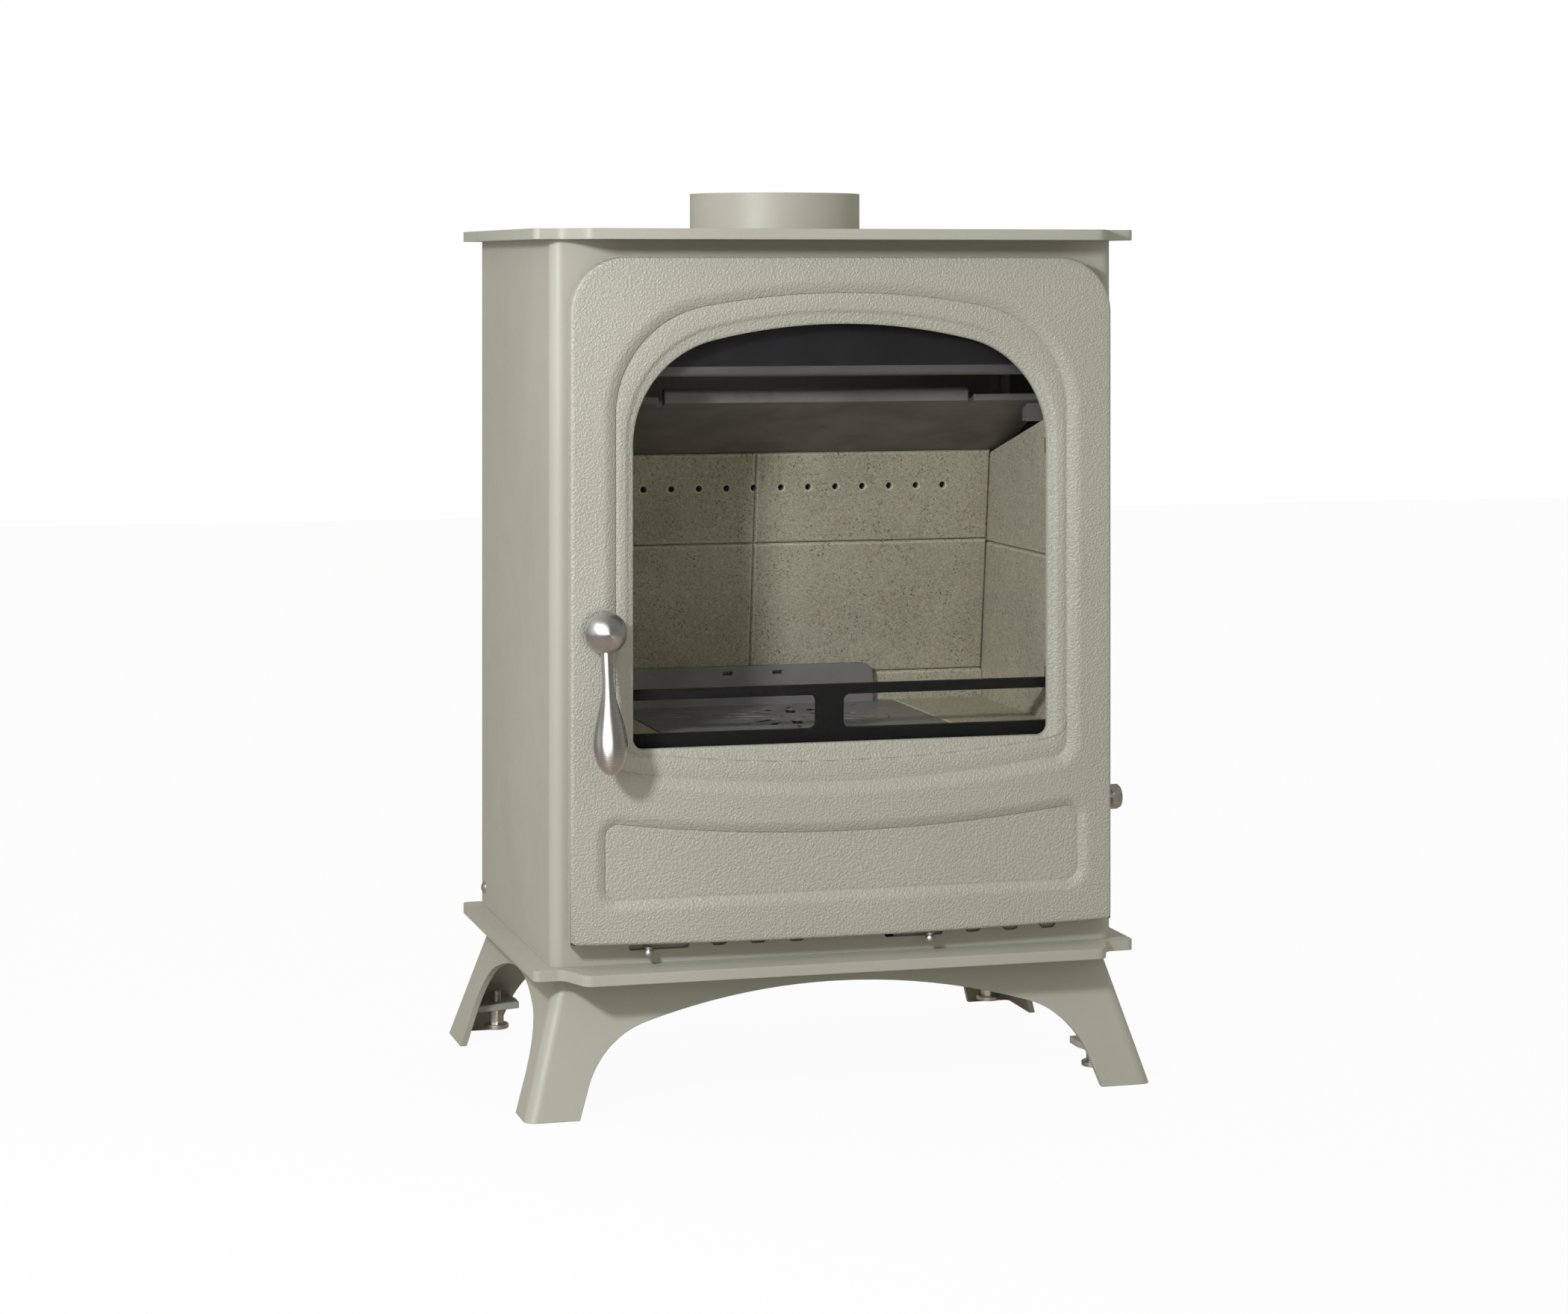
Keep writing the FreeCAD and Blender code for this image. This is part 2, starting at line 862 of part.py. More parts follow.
def stand_ring(drawing, low, wall):
    """Rounded plan of the stand at its top or at the floor, drawn in by a wall."""
    side = (half + d.foot_side_reach if low else half - d.stand_inset) - wall
    near_edge = (front - d.foot_front_reach if low else front + d.stand_inset) + wall
    far_edge = (back + d.foot_back_reach if low else back - d.stand_inset_back) - wall
    radius = d.stand_bend - wall
    outline(drawing, round_box(-side, side, near_edge, far_edge, radius, radius))


def flared_body(name, wall):
    """A flared block between the stand's plan at the top and at the floor."""
    body = new_body(name)
    low = sketch(body, "XY_Plane")
    stand_ring(low, True, wall)
    high = sketch(body, "XY_Plane", d.leg_height)
    stand_ring(high, False, wall)
    loft = body.newObject("PartDesign::AdditiveLoft", name + "_loft")
    loft.Profile = low
    loft.Sections = [high]
    loft.Ruled = True
    return body


def arch_cut(centre, drop, crown_radius, knee, shoulder_radius, heel, rise, toe):
    """Outline of an arch cut in the stand's skirt, open at the floor."""
    crown = d.leg_height - drop
    knee_level = crown - crown_radius + root_of(crown_radius * crown_radius - knee * knee)
    floor = -d.overrun
    flare = (toe - heel) / rise
    end = toe + flare * d.overrun
    return [
        (centre - end, floor),
        (centre + end, floor),
        (centre + heel, rise),
        (centre + knee, knee_level, shoulder_radius, 1),
        (centre - knee, knee_level, crown_radius, 1),
        (centre - heel, rise, shoulder_radius, 1),
    ]


def make_leg_stand():
    """Flared skirt of the stand, with an arch cut in each side."""
    body = flared_body("leg_stand", NIL)
    low = sketch(body, "XY_Plane", -d.overrun)
    slope_side = (d.foot_side_reach + d.stand_inset) / d.leg_height * d.overrun
    slope_front = (d.foot_front_reach + d.stand_inset) / d.leg_height * d.overrun
    slope_back = (d.foot_back_reach + d.stand_inset_back) / d.leg_height * d.overrun
    wall = d.stand_wall
    side = half + d.foot_side_reach - wall
    near_edge = front - d.foot_front_reach + wall
    far_edge = back + d.foot_back_reach - wall
    bend = d.stand_bend - wall
    outline(low, round_box(-side - slope_side, side + slope_side, near_edge - slope_front,
                           far_edge + slope_back, bend, bend))
    high = sketch(body, "XY_Plane", d.leg_height + d.overrun)
    side = half - d.stand_inset - wall
    near_edge = front + d.stand_inset + wall
    far_edge = back - d.stand_inset_back - wall
    outline(high, round_box(-side + slope_side, side - slope_side, near_edge + slope_front,
                            far_edge - slope_back, bend, bend))
    hollow = body.newObject("PartDesign::SubtractiveLoft", "leg_stand_hollow")
    hollow.Profile = low
    hollow.Sections = [high]
    hollow.Ruled = True
    reach = d.body_depth + d.foot_front_reach + d.foot_back_reach + d.overrun * 2
    drawing = sketch(body, "XZ_Plane", -(front - d.foot_front_reach - d.overrun))
    outline(drawing, arch_cut(NIL, d.arch_drop, d.arch_crown_radius, d.arch_knee_half,
                              d.arch_shoulder_radius, d.arch_heel_half, d.arch_heel_rise,
                              d.arch_toe_half))
    pocket(body, drawing, reach)
    drawing = sketch(body, "YZ_Plane", half + d.foot_side_reach + d.overrun)
    outline(drawing, arch_cut(front + d.side_arch_centre, d.side_arch_drop,
                              d.side_arch_crown_radius, d.side_arch_knee_half,
                              d.side_arch_shoulder_radius, d.side_arch_heel_half,
                              d.arch_heel_rise, d.side_arch_toe_half))
    pocket(body, drawing, d.body_width + d.foot_side_reach * 2 + d.overrun * 2)
    keep(body, "leg_stand")


def foot_places():
    """Plan places of the four levelling feet with the side and the end that each is on."""
    ends = (
        ("front", -1, front + d.foot_behind_front),
        ("rear", 1, back - d.foot_before_back),
    )
    for end_name, end, y in ends:
        for side_name, side in (("left", -1), ("right", 1)):
            x = (half - d.foot_inset_side) * side
            yield end_name + "_" + side_name, side, end, x, y


def make_foot_tabs():
    """Corner tabs that carry the levelling feet, trimmed to the stand's inside."""
    space = flared_body("stand_space", d.stand_wall)
    tabs = []
    for name, side, end, x, y in foot_places():
        reach, nose = d.tab_reach, d.tab_nose
        corners = [
            (x + reach * side, y + reach * end),
            (x + reach * side, y - nose * end),
            (x + nose * side, y - nose * end),
            (x - nose * side, y - nose / 2 * end),
            (x - nose * side, y + nose / 2 * end),
            (x - nose / 2 * side, y + reach * end),
        ]
        if side * end > 0:
            corners.reverse()
        tab = slab("tab_" + name, "XY_Plane", d.tab_level, corners, d.tab_thick)
        drawing = sketch(tab, "XY_Plane", d.tab_level + d.tab_thick)
        circle(drawing, x, y, d.foot_stud_radius + d.hinge_clearance)
        pocket(tab, drawing, d.tab_thick + d.overrun)
        trimmed = doc.addObject("Part::MultiCommon", "trimmed_" + name)
        trimmed.Shapes = [tab, space]
        tabs.append(trimmed)
    keep(group("foot_tabs", tabs), "foot_tabs")


def hexagon(drawing, flats, x=NIL, y=NIL):
    """A regular hexagon by its distance across flats."""
    point = flats / root_of(as_size(3))
    corners = []
    for turn in range(6):
        angle = as_size(60 * turn)
        corners.append((x + point * cos_of(angle), y + point * sin_of(angle)))
    outline(drawing, corners)


def make_levelling_feet():
    """Levelling feet: a flange, a hexagon and a stud in one turned piece each."""
    for name, _side, _end, x, y in foot_places():
        body = new_body("levelling_foot_" + name)
        drawing = sketch(body, "XY_Plane", d.foot_clearance)
        circle(drawing, NIL, NIL, d.foot_flange_radius)
        pad(body, drawing, d.foot_flange_thick)
        hex_low = d.foot_clearance + d.foot_flange_thick
        drawing = sketch(body, "XY_Plane", hex_low)
        hexagon(drawing, d.foot_hex_flats)
        pad(body, drawing, d.foot_hex_height)
        drawing = sketch(body, "XY_Plane", hex_low + d.foot_hex_height)
        circle(drawing, NIL, NIL, d.foot_stud_radius)
        pad(body, drawing, d.foot_stud_top - hex_low - d.foot_hex_height)
        place(body, x, y, NIL)
        keep(body, "levelling_foot_" + name)


def make_body_casing():
    """Sides and front frame folded from one sheet, with the door opening and the air slots."""
    bend, wall = d.casing_bend, d.casing_wall
    tight = bend - wall
    body = new_body("body_casing")
    drawing = sketch(body, "XY_Plane", deck)
    outline(drawing, [
        (-half, back),
        (-half, front + bend),
        (-half + bend, front, bend, 1),
        (half - bend, front),
        (half, front + bend, bend, 1),
        (half, back),
        (inner, back),
        (inner, front + bend),
        (half - bend, front + wall, tight, -1),
        (-half + bend, front + wall),
        (-inner, front + bend, tight, -1),
        (-inner, back),
    ])
    pad(body, drawing, d.body_height)
    through = wall + d.overrun * 2
    before = -(front - d.overrun)
    drawing = sketch(body, "XZ_Plane", before)
    outline(drawing, round_box(-d.opening_half, d.opening_half, deck + d.opening_low,
                               deck + d.opening_high, d.opening_low_radius,
                               d.opening_top_radius))
    pocket(body, drawing, through)
    drawing = sketch(body, "XZ_Plane", before)
    level = deck + d.slide_height
    outline(drawing, long_slot(d.primary_slot_left + d.slide_slot_radius,
                               d.primary_slot_right - d.slide_slot_radius, level,
                               d.slide_slot_radius))
    outline(drawing, long_slot(d.airwash_slot_left + d.slide_slot_radius,
                               d.airwash_slot_right - d.slide_slot_radius, level,
                               d.slide_slot_radius))
    for first in (d.primary_port, d.airwash_port):
        for index in range(3):
            middle = first + d.port_pitch * index
            outline(drawing, long_slot(middle - d.port_half + d.port_radius,
                                       middle + d.port_half - d.port_radius,
                                       deck + d.port_level, d.port_radius))
    pocket(body, drawing, through)
    drawing = sketch(body, "YZ_Plane", half + d.overrun)
    circle(drawing, front + d.disc_depth - d.crank_radius, deck + d.rod_height,
           d.rod_radius + d.rod_clearance)
    pocket(body, drawing, through)
    drawing = sketch(body, "YZ_Plane", half + d.overrun)
    circle(drawing, front + d.rear_screw_depth, deck + d.rear_screw_height,
           d.casing_screw_radius + d.sheet_gap)
    pocket(body, drawing, d.body_width + d.overrun * 2)
    keep(body, "body_casing")


def make_back_panel():
    """Back panel with flanges against the sides and holes for the rear air box."""
    side = inner - d.sheet_gap
    thick = d.panel_sheet
    level = deck + d.sheet_gap
    body = slab("back_panel", "XY_Plane", level, [
        (-side, back),
        (-side, back - d.back_flange),
        (-side + thick, back - d.back_flange),
        (-side + thick, back - thick),
        (side - thick, back - thick),
        (side - thick, back - d.back_flange),
        (side, back - d.back_flange),
        (side, back),
    ], d.body_height - d.sheet_gap * 2)
    drawing = sketch(body, "XZ_Plane", -(back - thick - d.overrun))
    middle = (d.box_low + d.box_high) / 2
    first = -(d.inlet_pitch * (d.inlet_count - 1) / 2)
    for index in range(int(SIZES["inlet_count"])):
        circle(drawing, first + d.inlet_pitch * index, deck + middle, d.inlet_radius)
    pocket(body, drawing, thick + d.overrun * 2)
    drawing = sketch(body, "YZ_Plane", side + d.overrun)
    circle(drawing, front + d.rear_screw_depth, deck + d.rear_screw_height,
           d.casing_screw_radius + d.sheet_gap)
    pocket(body, drawing, side * 2 + d.overrun * 2)
    keep(body, "back_panel")


def make_casing_screws():
    """Domed screws that hold the sides to the back panel's flanges."""
    screws = []
    for name, side in (("left", -1), ("right", 1)):
        body = new_body("casing_screw_" + name)
        drawing = sketch(body, "XZ_Plane")
        head, tall = d.casing_head_radius, d.casing_head_height
        bend = (head * head + tall * tall) / (tall * 2)
        outline(drawing, [
            (NIL, -d.casing_screw_length),
            (d.casing_screw_radius, -d.casing_screw_length),
            (d.casing_screw_radius, NIL),
            (head, NIL),
            (NIL, tall, bend, 1),
        ])
        turned = body.newObject("PartDesign::Revolution", body.Name + "_turned")
        turned.Profile = drawing
        turned.ReferenceAxis = (drawing, ["V_Axis"])
        turned.Angle = WHOLE_TURN
        body.Placement.Rotation = Rotation(Vector(0, side, 0), RIGHT_ANGLE)
        place(body, half * side, front + d.rear_screw_depth, deck + d.rear_screw_height)
        screws.append(body)
    keep(group("casing_screws", screws), "casing_screws")


def door_outline():
    """Front view of the door: large upper corners and a bottom edge that sags."""
    wide, radius = d.door_half, d.door_corner_radius
    centre = d.door_offset
    low, high = deck + d.door_low, deck + d.door_high
    bend = (wide * wide + d.door_sag * d.door_sag) / (d.door_sag * 2)
    return [
        (centre - wide, low),
        (centre + wide, low, bend, 1),
        (centre + wide, high - radius),
        (centre + wide - radius, high, radius, 1),
        (centre - wide + radius, high),
        (centre - wide, high - radius, radius, 1),
    ]


def handle_level():
    """Height of the handle's axis, which clears the log guard behind it."""
    return deck + d.guard_high + d.handle_lift


def handle_place():
    """Place of the handle across the door, counted from its left edge."""
    return d.door_offset - d.door_half + d.handle_inset


def clip_side():
    """Distance of the glass clips' screws from the door's middle line."""
    return d.window_half + d.clip_outset


def window_outline(grow, corner):
    """The door's window, grown outwards."""
    return arch_outline(d.door_offset, d.window_half, deck + d.window_low,
                        deck + d.window_high, d.window_crown_radius,
                        d.window_shoulder_radius, grow, corner, None)


def cove_outline(grow, corner):
    """Edge of the cove round the window, grown outwards."""
    cove_half = d.door_half - d.cove_stile
    return arch_outline(d.door_offset, cove_half, deck + d.cove_low + d.cove_sag,
                        deck + d.cove_high, d.cove_crown_radius, d.cove_shoulder_radius,
                        grow, corner, d.cove_sag)


def panel_outline(shrink):
    """Edge of the lower panel, whose top dips in the middle."""
    centre = d.door_offset
    wide = d.panel_half - shrink
    low = deck + d.panel_low + shrink
    high = deck + d.panel_high - shrink
    corner = d.panel_corner_radius - shrink
    chord = wide - corner
    bend = (chord * chord + d.panel_dip * d.panel_dip) / (d.panel_dip * 2)
    return [
        (centre - wide, low + corner),
        (centre - wide + corner, low, corner, 1),
        (centre + wide - corner, low),
        (centre + wide, low + corner, corner, 1),
        (centre + wide, high - corner),
        (centre + wide - corner, high, corner, 1),
        (centre - wide + corner, high, bend, -1),
        (centre - wide, high - corner, corner, 1),
    ]


def sunk_loft(body, near_corners, near_level, far_corners, far_level):
    """Cut a tapered recess between two outlines that face the front."""
    first = sketch(body, "XZ_Plane", -near_level)
    outline(first, near_corners)
    second = sketch(body, "XZ_Plane", -far_level)
    outline(second, far_corners)
    loft = body.newObject("PartDesign::SubtractiveLoft", body.Name + "_recess")
    loft.Profile = first
    loft.Sections = [second]
    loft.Ruled = True
    return loft


def make_door():
    """Cast door: arched window, cove, pillowed inner border, lower panel, rope groove, knuckles."""
    rear = front - d.door_gap
    face = rear - d.door_thick
    body = slab("door", "XZ_Plane", -rear, door_outline(), d.door_thick)
    face_y = face.number
    rear_y = rear.number
    round_edges(body, d.door_edge_round,
                lambda a, b, edge: near(a.y, face_y) and near(b.y, face_y))
    right = (d.door_offset + d.door_half).number
    round_edges(body, d.door_back_round,
                lambda a, b, edge: near(a.y, rear_y) and near(b.y, rear_y)
                and near(a.x, right) and near(b.x, right))
    sunk_loft(body, cove_outline(NIL, d.cove_corner_radius), face,
              cove_outline(-d.cove_width, d.cove_corner_radius - d.cove_width),
              face + d.cove_depth)
    sunk_loft(body, panel_outline(NIL), face, panel_outline(d.panel_sill_width),
              face + d.panel_depth)
    floor = face + d.cove_depth
    drawing = sketch(body, "XZ_Plane", -floor)
    outline(drawing, cove_outline(-d.cove_width, d.cove_corner_radius - d.cove_width))
    pad(body, drawing, d.pillow_rise)
    drawing = sketch(body, "XZ_Plane", -(face - d.overrun))
    outline(drawing, window_outline(NIL, d.window_corner_radius))
    pocket(body, drawing, d.door_thick + d.overrun * 2)
    pillow = (floor - d.pillow_rise).number
    side = (d.window_half + d.glass_gap).number
    low = (deck + d.window_low - d.glass_gap).number
    high = (deck + d.window_high + d.glass_gap).number

    def on_window(a, b, edge):
        reach = edge.BoundBox
        level = near(a.y, pillow) and near(b.y, pillow)
        across = reach.XMin > d.door_offset.number - side and reach.XMax < d.door_offset.number + side
        return level and across and reach.ZMin > low and reach.ZMax < high

    round_edges(body, d.window_round, on_window)
    cut_door_back(body, face, rear)
    keep(body, "door_casting")


def ring_path(drawing, grow):
    """The rope's closed path round the door's back, grown outwards."""
    top, low = d.groove_top_radius, d.groove_low_radius
    outline(drawing, round_box(-d.groove_left - grow, d.groove_right + grow,
                               deck + d.groove_low - grow, deck + d.groove_high + grow,
                               low + grow, top + grow))


def cut_door_back(body, face, rear):
    """Features behind the casting: hollow, glass seat, rope groove, notches, bosses and bores."""
    behind = -(rear + d.overrun)
    centre = d.door_offset
    wide = d.door_half - d.hollow_rim
    corner = d.hollow_corner_radius
    drawing = sketch(body, "XZ_Plane", behind)
    outline(drawing, round_box(centre - wide, centre + wide, deck + d.door_low + d.hollow_rim,
                               deck + d.window_low - d.hollow_rim, corner, corner))
    pocket(body, drawing, d.hollow_depth + d.overrun, True)
    drawing = sketch(body, "XZ_Plane", behind)
    outline(drawing, window_outline(d.glass_ring, d.window_corner_radius + d.glass_ring))
    pocket(body, drawing, d.glass_recess + d.overrun, True)
    drawing = sketch(body, "XZ_Plane", behind)
    ring_path(drawing, d.groove_width / 2)
    ring_path(drawing, -(d.groove_width / 2))
    pocket(body, drawing, d.groove_depth + d.overrun, True)
    nose = d.hinge_nose_radius + d.hinge_notch_gap
    for low in (d.hinge_low, d.hinge_high):
        drawing = sketch(body, "XY_Plane", deck + low - d.hinge_lug_gap)
        outline(drawing, rectangle(d.hinge_side - nose, centre + d.door_half + d.overrun,
                                   front - d.hinge_depth - nose, rear + d.overrun))
        pocket(body, drawing, d.hinge_lug_thick + d.hinge_lug_gap * 2, True)
        drawing = sketch(body, "XY_Plane", deck + low - d.hinge_pin_reach)
        circle(drawing, d.hinge_side, front - d.hinge_depth,
               d.hinge_pin_radius + d.hinge_clearance)
        pocket(body, drawing, d.hinge_lug_thick + d.hinge_pin_reach * 2, True)
    drawing = sketch(body, "XZ_Plane", -rear)
    circle(drawing, handle_place(), handle_level(), d.spindle_boss_radius)
    pad(body, drawing, d.spindle_boss_rise, True)
    for level in (d.clip_low, d.clip_high):
        for side in (-1, 1):
            drawing = sketch(body, "XZ_Plane", -rear)
            circle(drawing, centre + clip_side() * side, deck + level, d.clip_boss_radius)
            pad(body, drawing, clip_seat() - rear, True)
            drawing = sketch(body, "XZ_Plane", -(clip_seat() + d.overrun))
            circle(drawing, centre + clip_side() * side, deck + level,
                   d.clip_screw_radius + d.glass_gap)
            pocket(body, drawing, d.clip_screw_depth + d.overrun + d.glass_gap, True)
    dimple = d.handle_dimple_radius
    first = sketch(body, "XZ_Plane", -face)
    circle(first, handle_place(), handle_level(), dimple)
    second = sketch(body, "XZ_Plane", -(face + d.handle_dimple_depth))
    circle(second, handle_place(), handle_level(), dimple / 2)
    loft = body.newObject("PartDesign::SubtractiveLoft", body.Name + "_dimple")
    loft.Profile = first
    loft.Sections = [second]
    loft.Ruled = True
    drawing = sketch(body, "XZ_Plane", -(rear + d.spindle_boss_rise + d.overrun))
    circle(drawing, handle_place(), handle_level(),
           d.spindle_radius + d.spindle_clearance)
    pocket(body, drawing, d.door_thick + d.spindle_boss_rise + d.overrun * 2, True)


def tape_front():
    """Depth of the glass tape's front face, against the door's glass seat."""
    return front - d.door_gap - d.glass_recess + d.glass_gap


def glass_front():
    """Depth of the glass's front face."""
    return tape_front() + d.tape_thick + d.glass_gap


def clip_seat():
    """Depth at which the clips lie, on the clip bosses and just behind the glass."""
    return glass_front() + d.glass_thick + d.glass_gap


def make_glass():
    """Door glass, its tape, the clips and their screws."""
    grow = d.glass_margin
    corner = d.window_corner_radius + grow
    level = -(glass_front() + d.glass_thick)
    glass = slab("door_glass", "XZ_Plane", level, window_outline(grow, corner), d.glass_thick)
    keep(glass, "door_glass")
    tape = new_body("glass_tape")
    drawing = sketch(tape, "XZ_Plane", -(tape_front() + d.tape_thick))
    outline(drawing, window_outline(grow, corner))
    inset = grow - d.tape_width
    outline(drawing, window_outline(inset, d.window_corner_radius + inset))
    pad(tape, drawing, d.tape_thick)
    keep(tape, "glass_tape")
    clips = []
    screws = []
    seat = clip_seat()
    reach = d.clip_boss_radius
    for level_name, level in (("low", d.clip_low), ("high", d.clip_high)):
        for side_name, side in (("left", -1), ("right", 1)):
            x = d.door_offset + clip_side() * side
            outer = x + reach * side
            inside = outer - d.clip_length * side
            ends = (inside, outer) if side > 0 else (outer, inside)
            name = "%s_%s" % (level_name, side_name)
            z = deck + level
            clip = new_body("clip_" + name)
            drawing = sketch(clip, "XZ_Plane", -(seat + d.clip_thick))
            outline(drawing, rectangle(ends[0], ends[1], z - d.clip_width / 2,
                                       z + d.clip_width / 2))
            circle(drawing, x, z, d.clip_screw_radius + d.glass_gap)
            pad(clip, drawing, d.clip_thick)
            clips.append(clip)
            screw = new_body("clip_screw_" + name)
            drawing = sketch(screw, "XZ_Plane", -(seat + d.clip_thick))
            circle(drawing, x, z, d.clip_head_radius)
            pad(screw, drawing, d.clip_head_height, True)
            drawing = sketch(screw, "XZ_Plane", -(seat + d.clip_thick))
            circle(drawing, x, z, d.clip_screw_radius)
            pad(screw, drawing, d.clip_screw_depth + d.clip_thick)
            screws.append(screw)
    keep(group("glass_clips", clips), "glass_clips")
    keep(group("glass_clip_screws", screws), "glass_clip_screws")


def make_rope():
    """Rope in the groove behind the door."""
    body = new_body("door_rope")
    depth = front - d.rope_gap - d.rope_radius
    path = sketch(body, "XZ_Plane", -depth)
    ring_path(path, NIL)
    profile = sketch(body, "XY_Plane", deck + (d.groove_low + d.groove_high) / 2)
    circle(profile, -d.groove_left, depth, d.rope_radius)
    pipe = body.newObject("PartDesign::AdditivePipe", "door_rope_pipe")
    pipe.Profile = profile
    pipe.Spine = (path, ["Edge%d" % (index + 1) for index in range(8)])
    keep(body, "door_rope")


def make_hinges():
    """Hinge brackets welded to the front frame, and the pins that the door turns on."""
    brackets = []
    pins = []
    x = d.hinge_side
    y = front - d.hinge_depth
    nose, arm = d.hinge_nose_radius, d.hinge_arm_half
    meet = y + root_of(nose * nose - arm * arm)
    for name, low in (("low", d.hinge_low), ("high", d.hinge_high)):
        level = deck + low
        bracket = new_body("hinge_bracket_" + name)
        drawing = sketch(bracket, "XY_Plane", level)
        outline(drawing, [
            (x - arm, front),
            (x - arm, meet),
            (x, y - nose, nose, 1),
            (x + arm, meet, nose, 1),
            (x + arm, front),
        ])
        circle(drawing, x, y, d.hinge_pin_radius + d.hinge_clearance)
        pad(bracket, drawing, d.hinge_lug_thick)
        brackets.append(bracket)
        low_end = level - d.hinge_pin_reach + d.hinge_lug_gap
        length = d.hinge_lug_thick + d.hinge_pin_reach * 2 - d.hinge_lug_gap * 2
        pins.append(rod("hinge_pin_" + name, "z", (x, y, low_end), d.hinge_pin_radius, length))
    keep(group("hinge_brackets", brackets), "hinge_brackets")
    keep(group("hinge_pins", pins), "hinge_pins")


def make_handle():
    """Ball knob, spindle, hanging lever, latch tongue and its nut."""
    x, z = handle_place(), handle_level()
    ball_y = front - d.handle_ball_depth
    ball = doc.addObject("Part::Sphere", "ball")
    bind(ball, "Radius", d.handle_ball_radius)
    place(ball, x, ball_y, z)
    start = front - d.spindle_start
    deep = d.spindle_end + d.spindle_start
    socket = rod("ball_socket", "y", (x, start - d.nut_gap, z), d.spindle_radius + d.nut_gap, deep)
    tenon_hole = doc.addObject("Part::Cylinder", "tenon_hole")
    tenon_hole.Placement.Rotation = Rotation(Vector(-1, 0, 0), 180 + SIZES["lever_tilt"])
    bind(tenon_hole, "Placement.Rotation.Angle", as_size(180) + d.lever_tilt)
    bind(tenon_hole, "Radius", d.lever_neck_radius + d.nut_gap)
    bind(tenon_hole, "Height", d.handle_ball_radius + d.overrun)
    place(tenon_hole, x, ball_y, z)
    blind = doc.addObject("Part::Sphere", "tenon_floor")
    bind(blind, "Radius", d.lever_tenon - d.nut_gap)
    place(blind, x, ball_y, z)
    drilled = cut("tenon_drilling", tenon_hole, [blind])
    keep(cut("handle_ball", ball, [socket, drilled]), "handle_ball")
    spindle = rod("handle_spindle", "y", (x, start, z), d.spindle_radius, deep)
    keep(spindle, "handle_spindle")
    lever = new_body("handle_lever")
    drawing = sketch(lever, "XZ_Plane")
    outline(drawing, [
        (NIL, -d.lever_end),
        (d.lever_cheek_radius, -d.lever_cheek, d.lever_end_bend, 1),
        (d.lever_belly_radius, -d.lever_belly, d.lever_belly_bend, 1),
        (d.lever_shoulder_radius, -d.lever_shoulder, d.lever_shoulder_bend, 1),
        (d.lever_waist_radius, -d.lever_waist, d.lever_waist_bend, -1),
        (d.lever_neck_radius, -d.lever_tenon - d.overrun),
        (NIL, -d.lever_tenon - d.overrun),
    ])
    turned = lever.newObject("PartDesign::Revolution", "handle_lever_turned")
    turned.Profile = drawing
    turned.ReferenceAxis = (drawing, ["V_Axis"])
    turned.Angle = WHOLE_TURN
    lever.Placement.Rotation = Rotation(Vector(-1, 0, 0), SIZES["lever_tilt"])
    bind(lever, "Placement.Rotation.Angle", d.lever_tilt)
    place(lever, x, ball_y, z)
    keep(lever, "handle_lever")
    tongue = new_body("latch_tongue")
    drawing = sketch(tongue, "XZ_Plane", -(front + d.tongue_start + d.tongue_thick))
    half_wide = d.tongue_half
    outline(drawing, [
        (x - half_wide, z - d.tongue_reach),
        (x + half_wide, z - d.tongue_reach),
        (x + half_wide, z + d.tongue_back - half_wide),
        (x, z + d.tongue_back, half_wide, 1),
        (x - half_wide, z + d.tongue_back - half_wide, half_wide, 1),
    ])
    circle(drawing, x, z, d.spindle_radius + d.nut_gap)
    pad(tongue, drawing, d.tongue_thick)
    keep(tongue, "latch_tongue")
    nut = new_body("latch_nut")
    nut_start = front + d.tongue_start + d.tongue_thick
    drawing = sketch(nut, "XZ_Plane", -nut_start)
    hexagon(drawing, d.latch_nut_flats, x, z)
    circle(drawing, x, z, d.spindle_radius + d.nut_gap)
    pad(nut, drawing, d.latch_nut_thick, True)
    keep(nut, "latch_nut")


def make_air_slide(name, low_x, high_x, pin_x, first_port):
    """A slide plate behind the front frame, with an arm out of its slot and a hanging knob."""
    start = front + d.casing_wall + d.slide_gap
    plate = new_body(name + "_slide")
    drawing = sketch(plate, "XZ_Plane", -(start + d.slide_thick))
    outline(drawing, rectangle(low_x, high_x, deck + d.slide_low, deck + d.slide_high))
    for index in range(3):
        middle = first_port + d.port_pitch * index - d.port_pitch / 3
        outline(drawing, long_slot(middle - d.port_half + d.port_radius,
                                   middle + d.port_half - d.port_radius,
                                   deck + d.port_level, d.port_radius))
    pad(plate, drawing, d.slide_thick)
    keep(plate, name + "_slide")
    tip = front - d.knob_depth
    reach = d.knob_depth + d.casing_wall + d.slide_gap
    arm = rod(name + "_arm", "y", (pin_x, tip, deck + d.slide_height), d.slide_arm_radius, reach)
    low = deck + d.knob_level
    peg = rod(name + "_peg", "z", (pin_x, tip, low), d.knob_peg_radius,
              d.knob_peg_top - d.knob_level)
    ball = doc.addObject("Part::Sphere", name + "_ball")
    bind(ball, "Radius", d.knob_radius)
    place(ball, pin_x, tip, low)
    keep(fuse(name + "_knob_form", [arm, peg, ball]), name + "_knob")


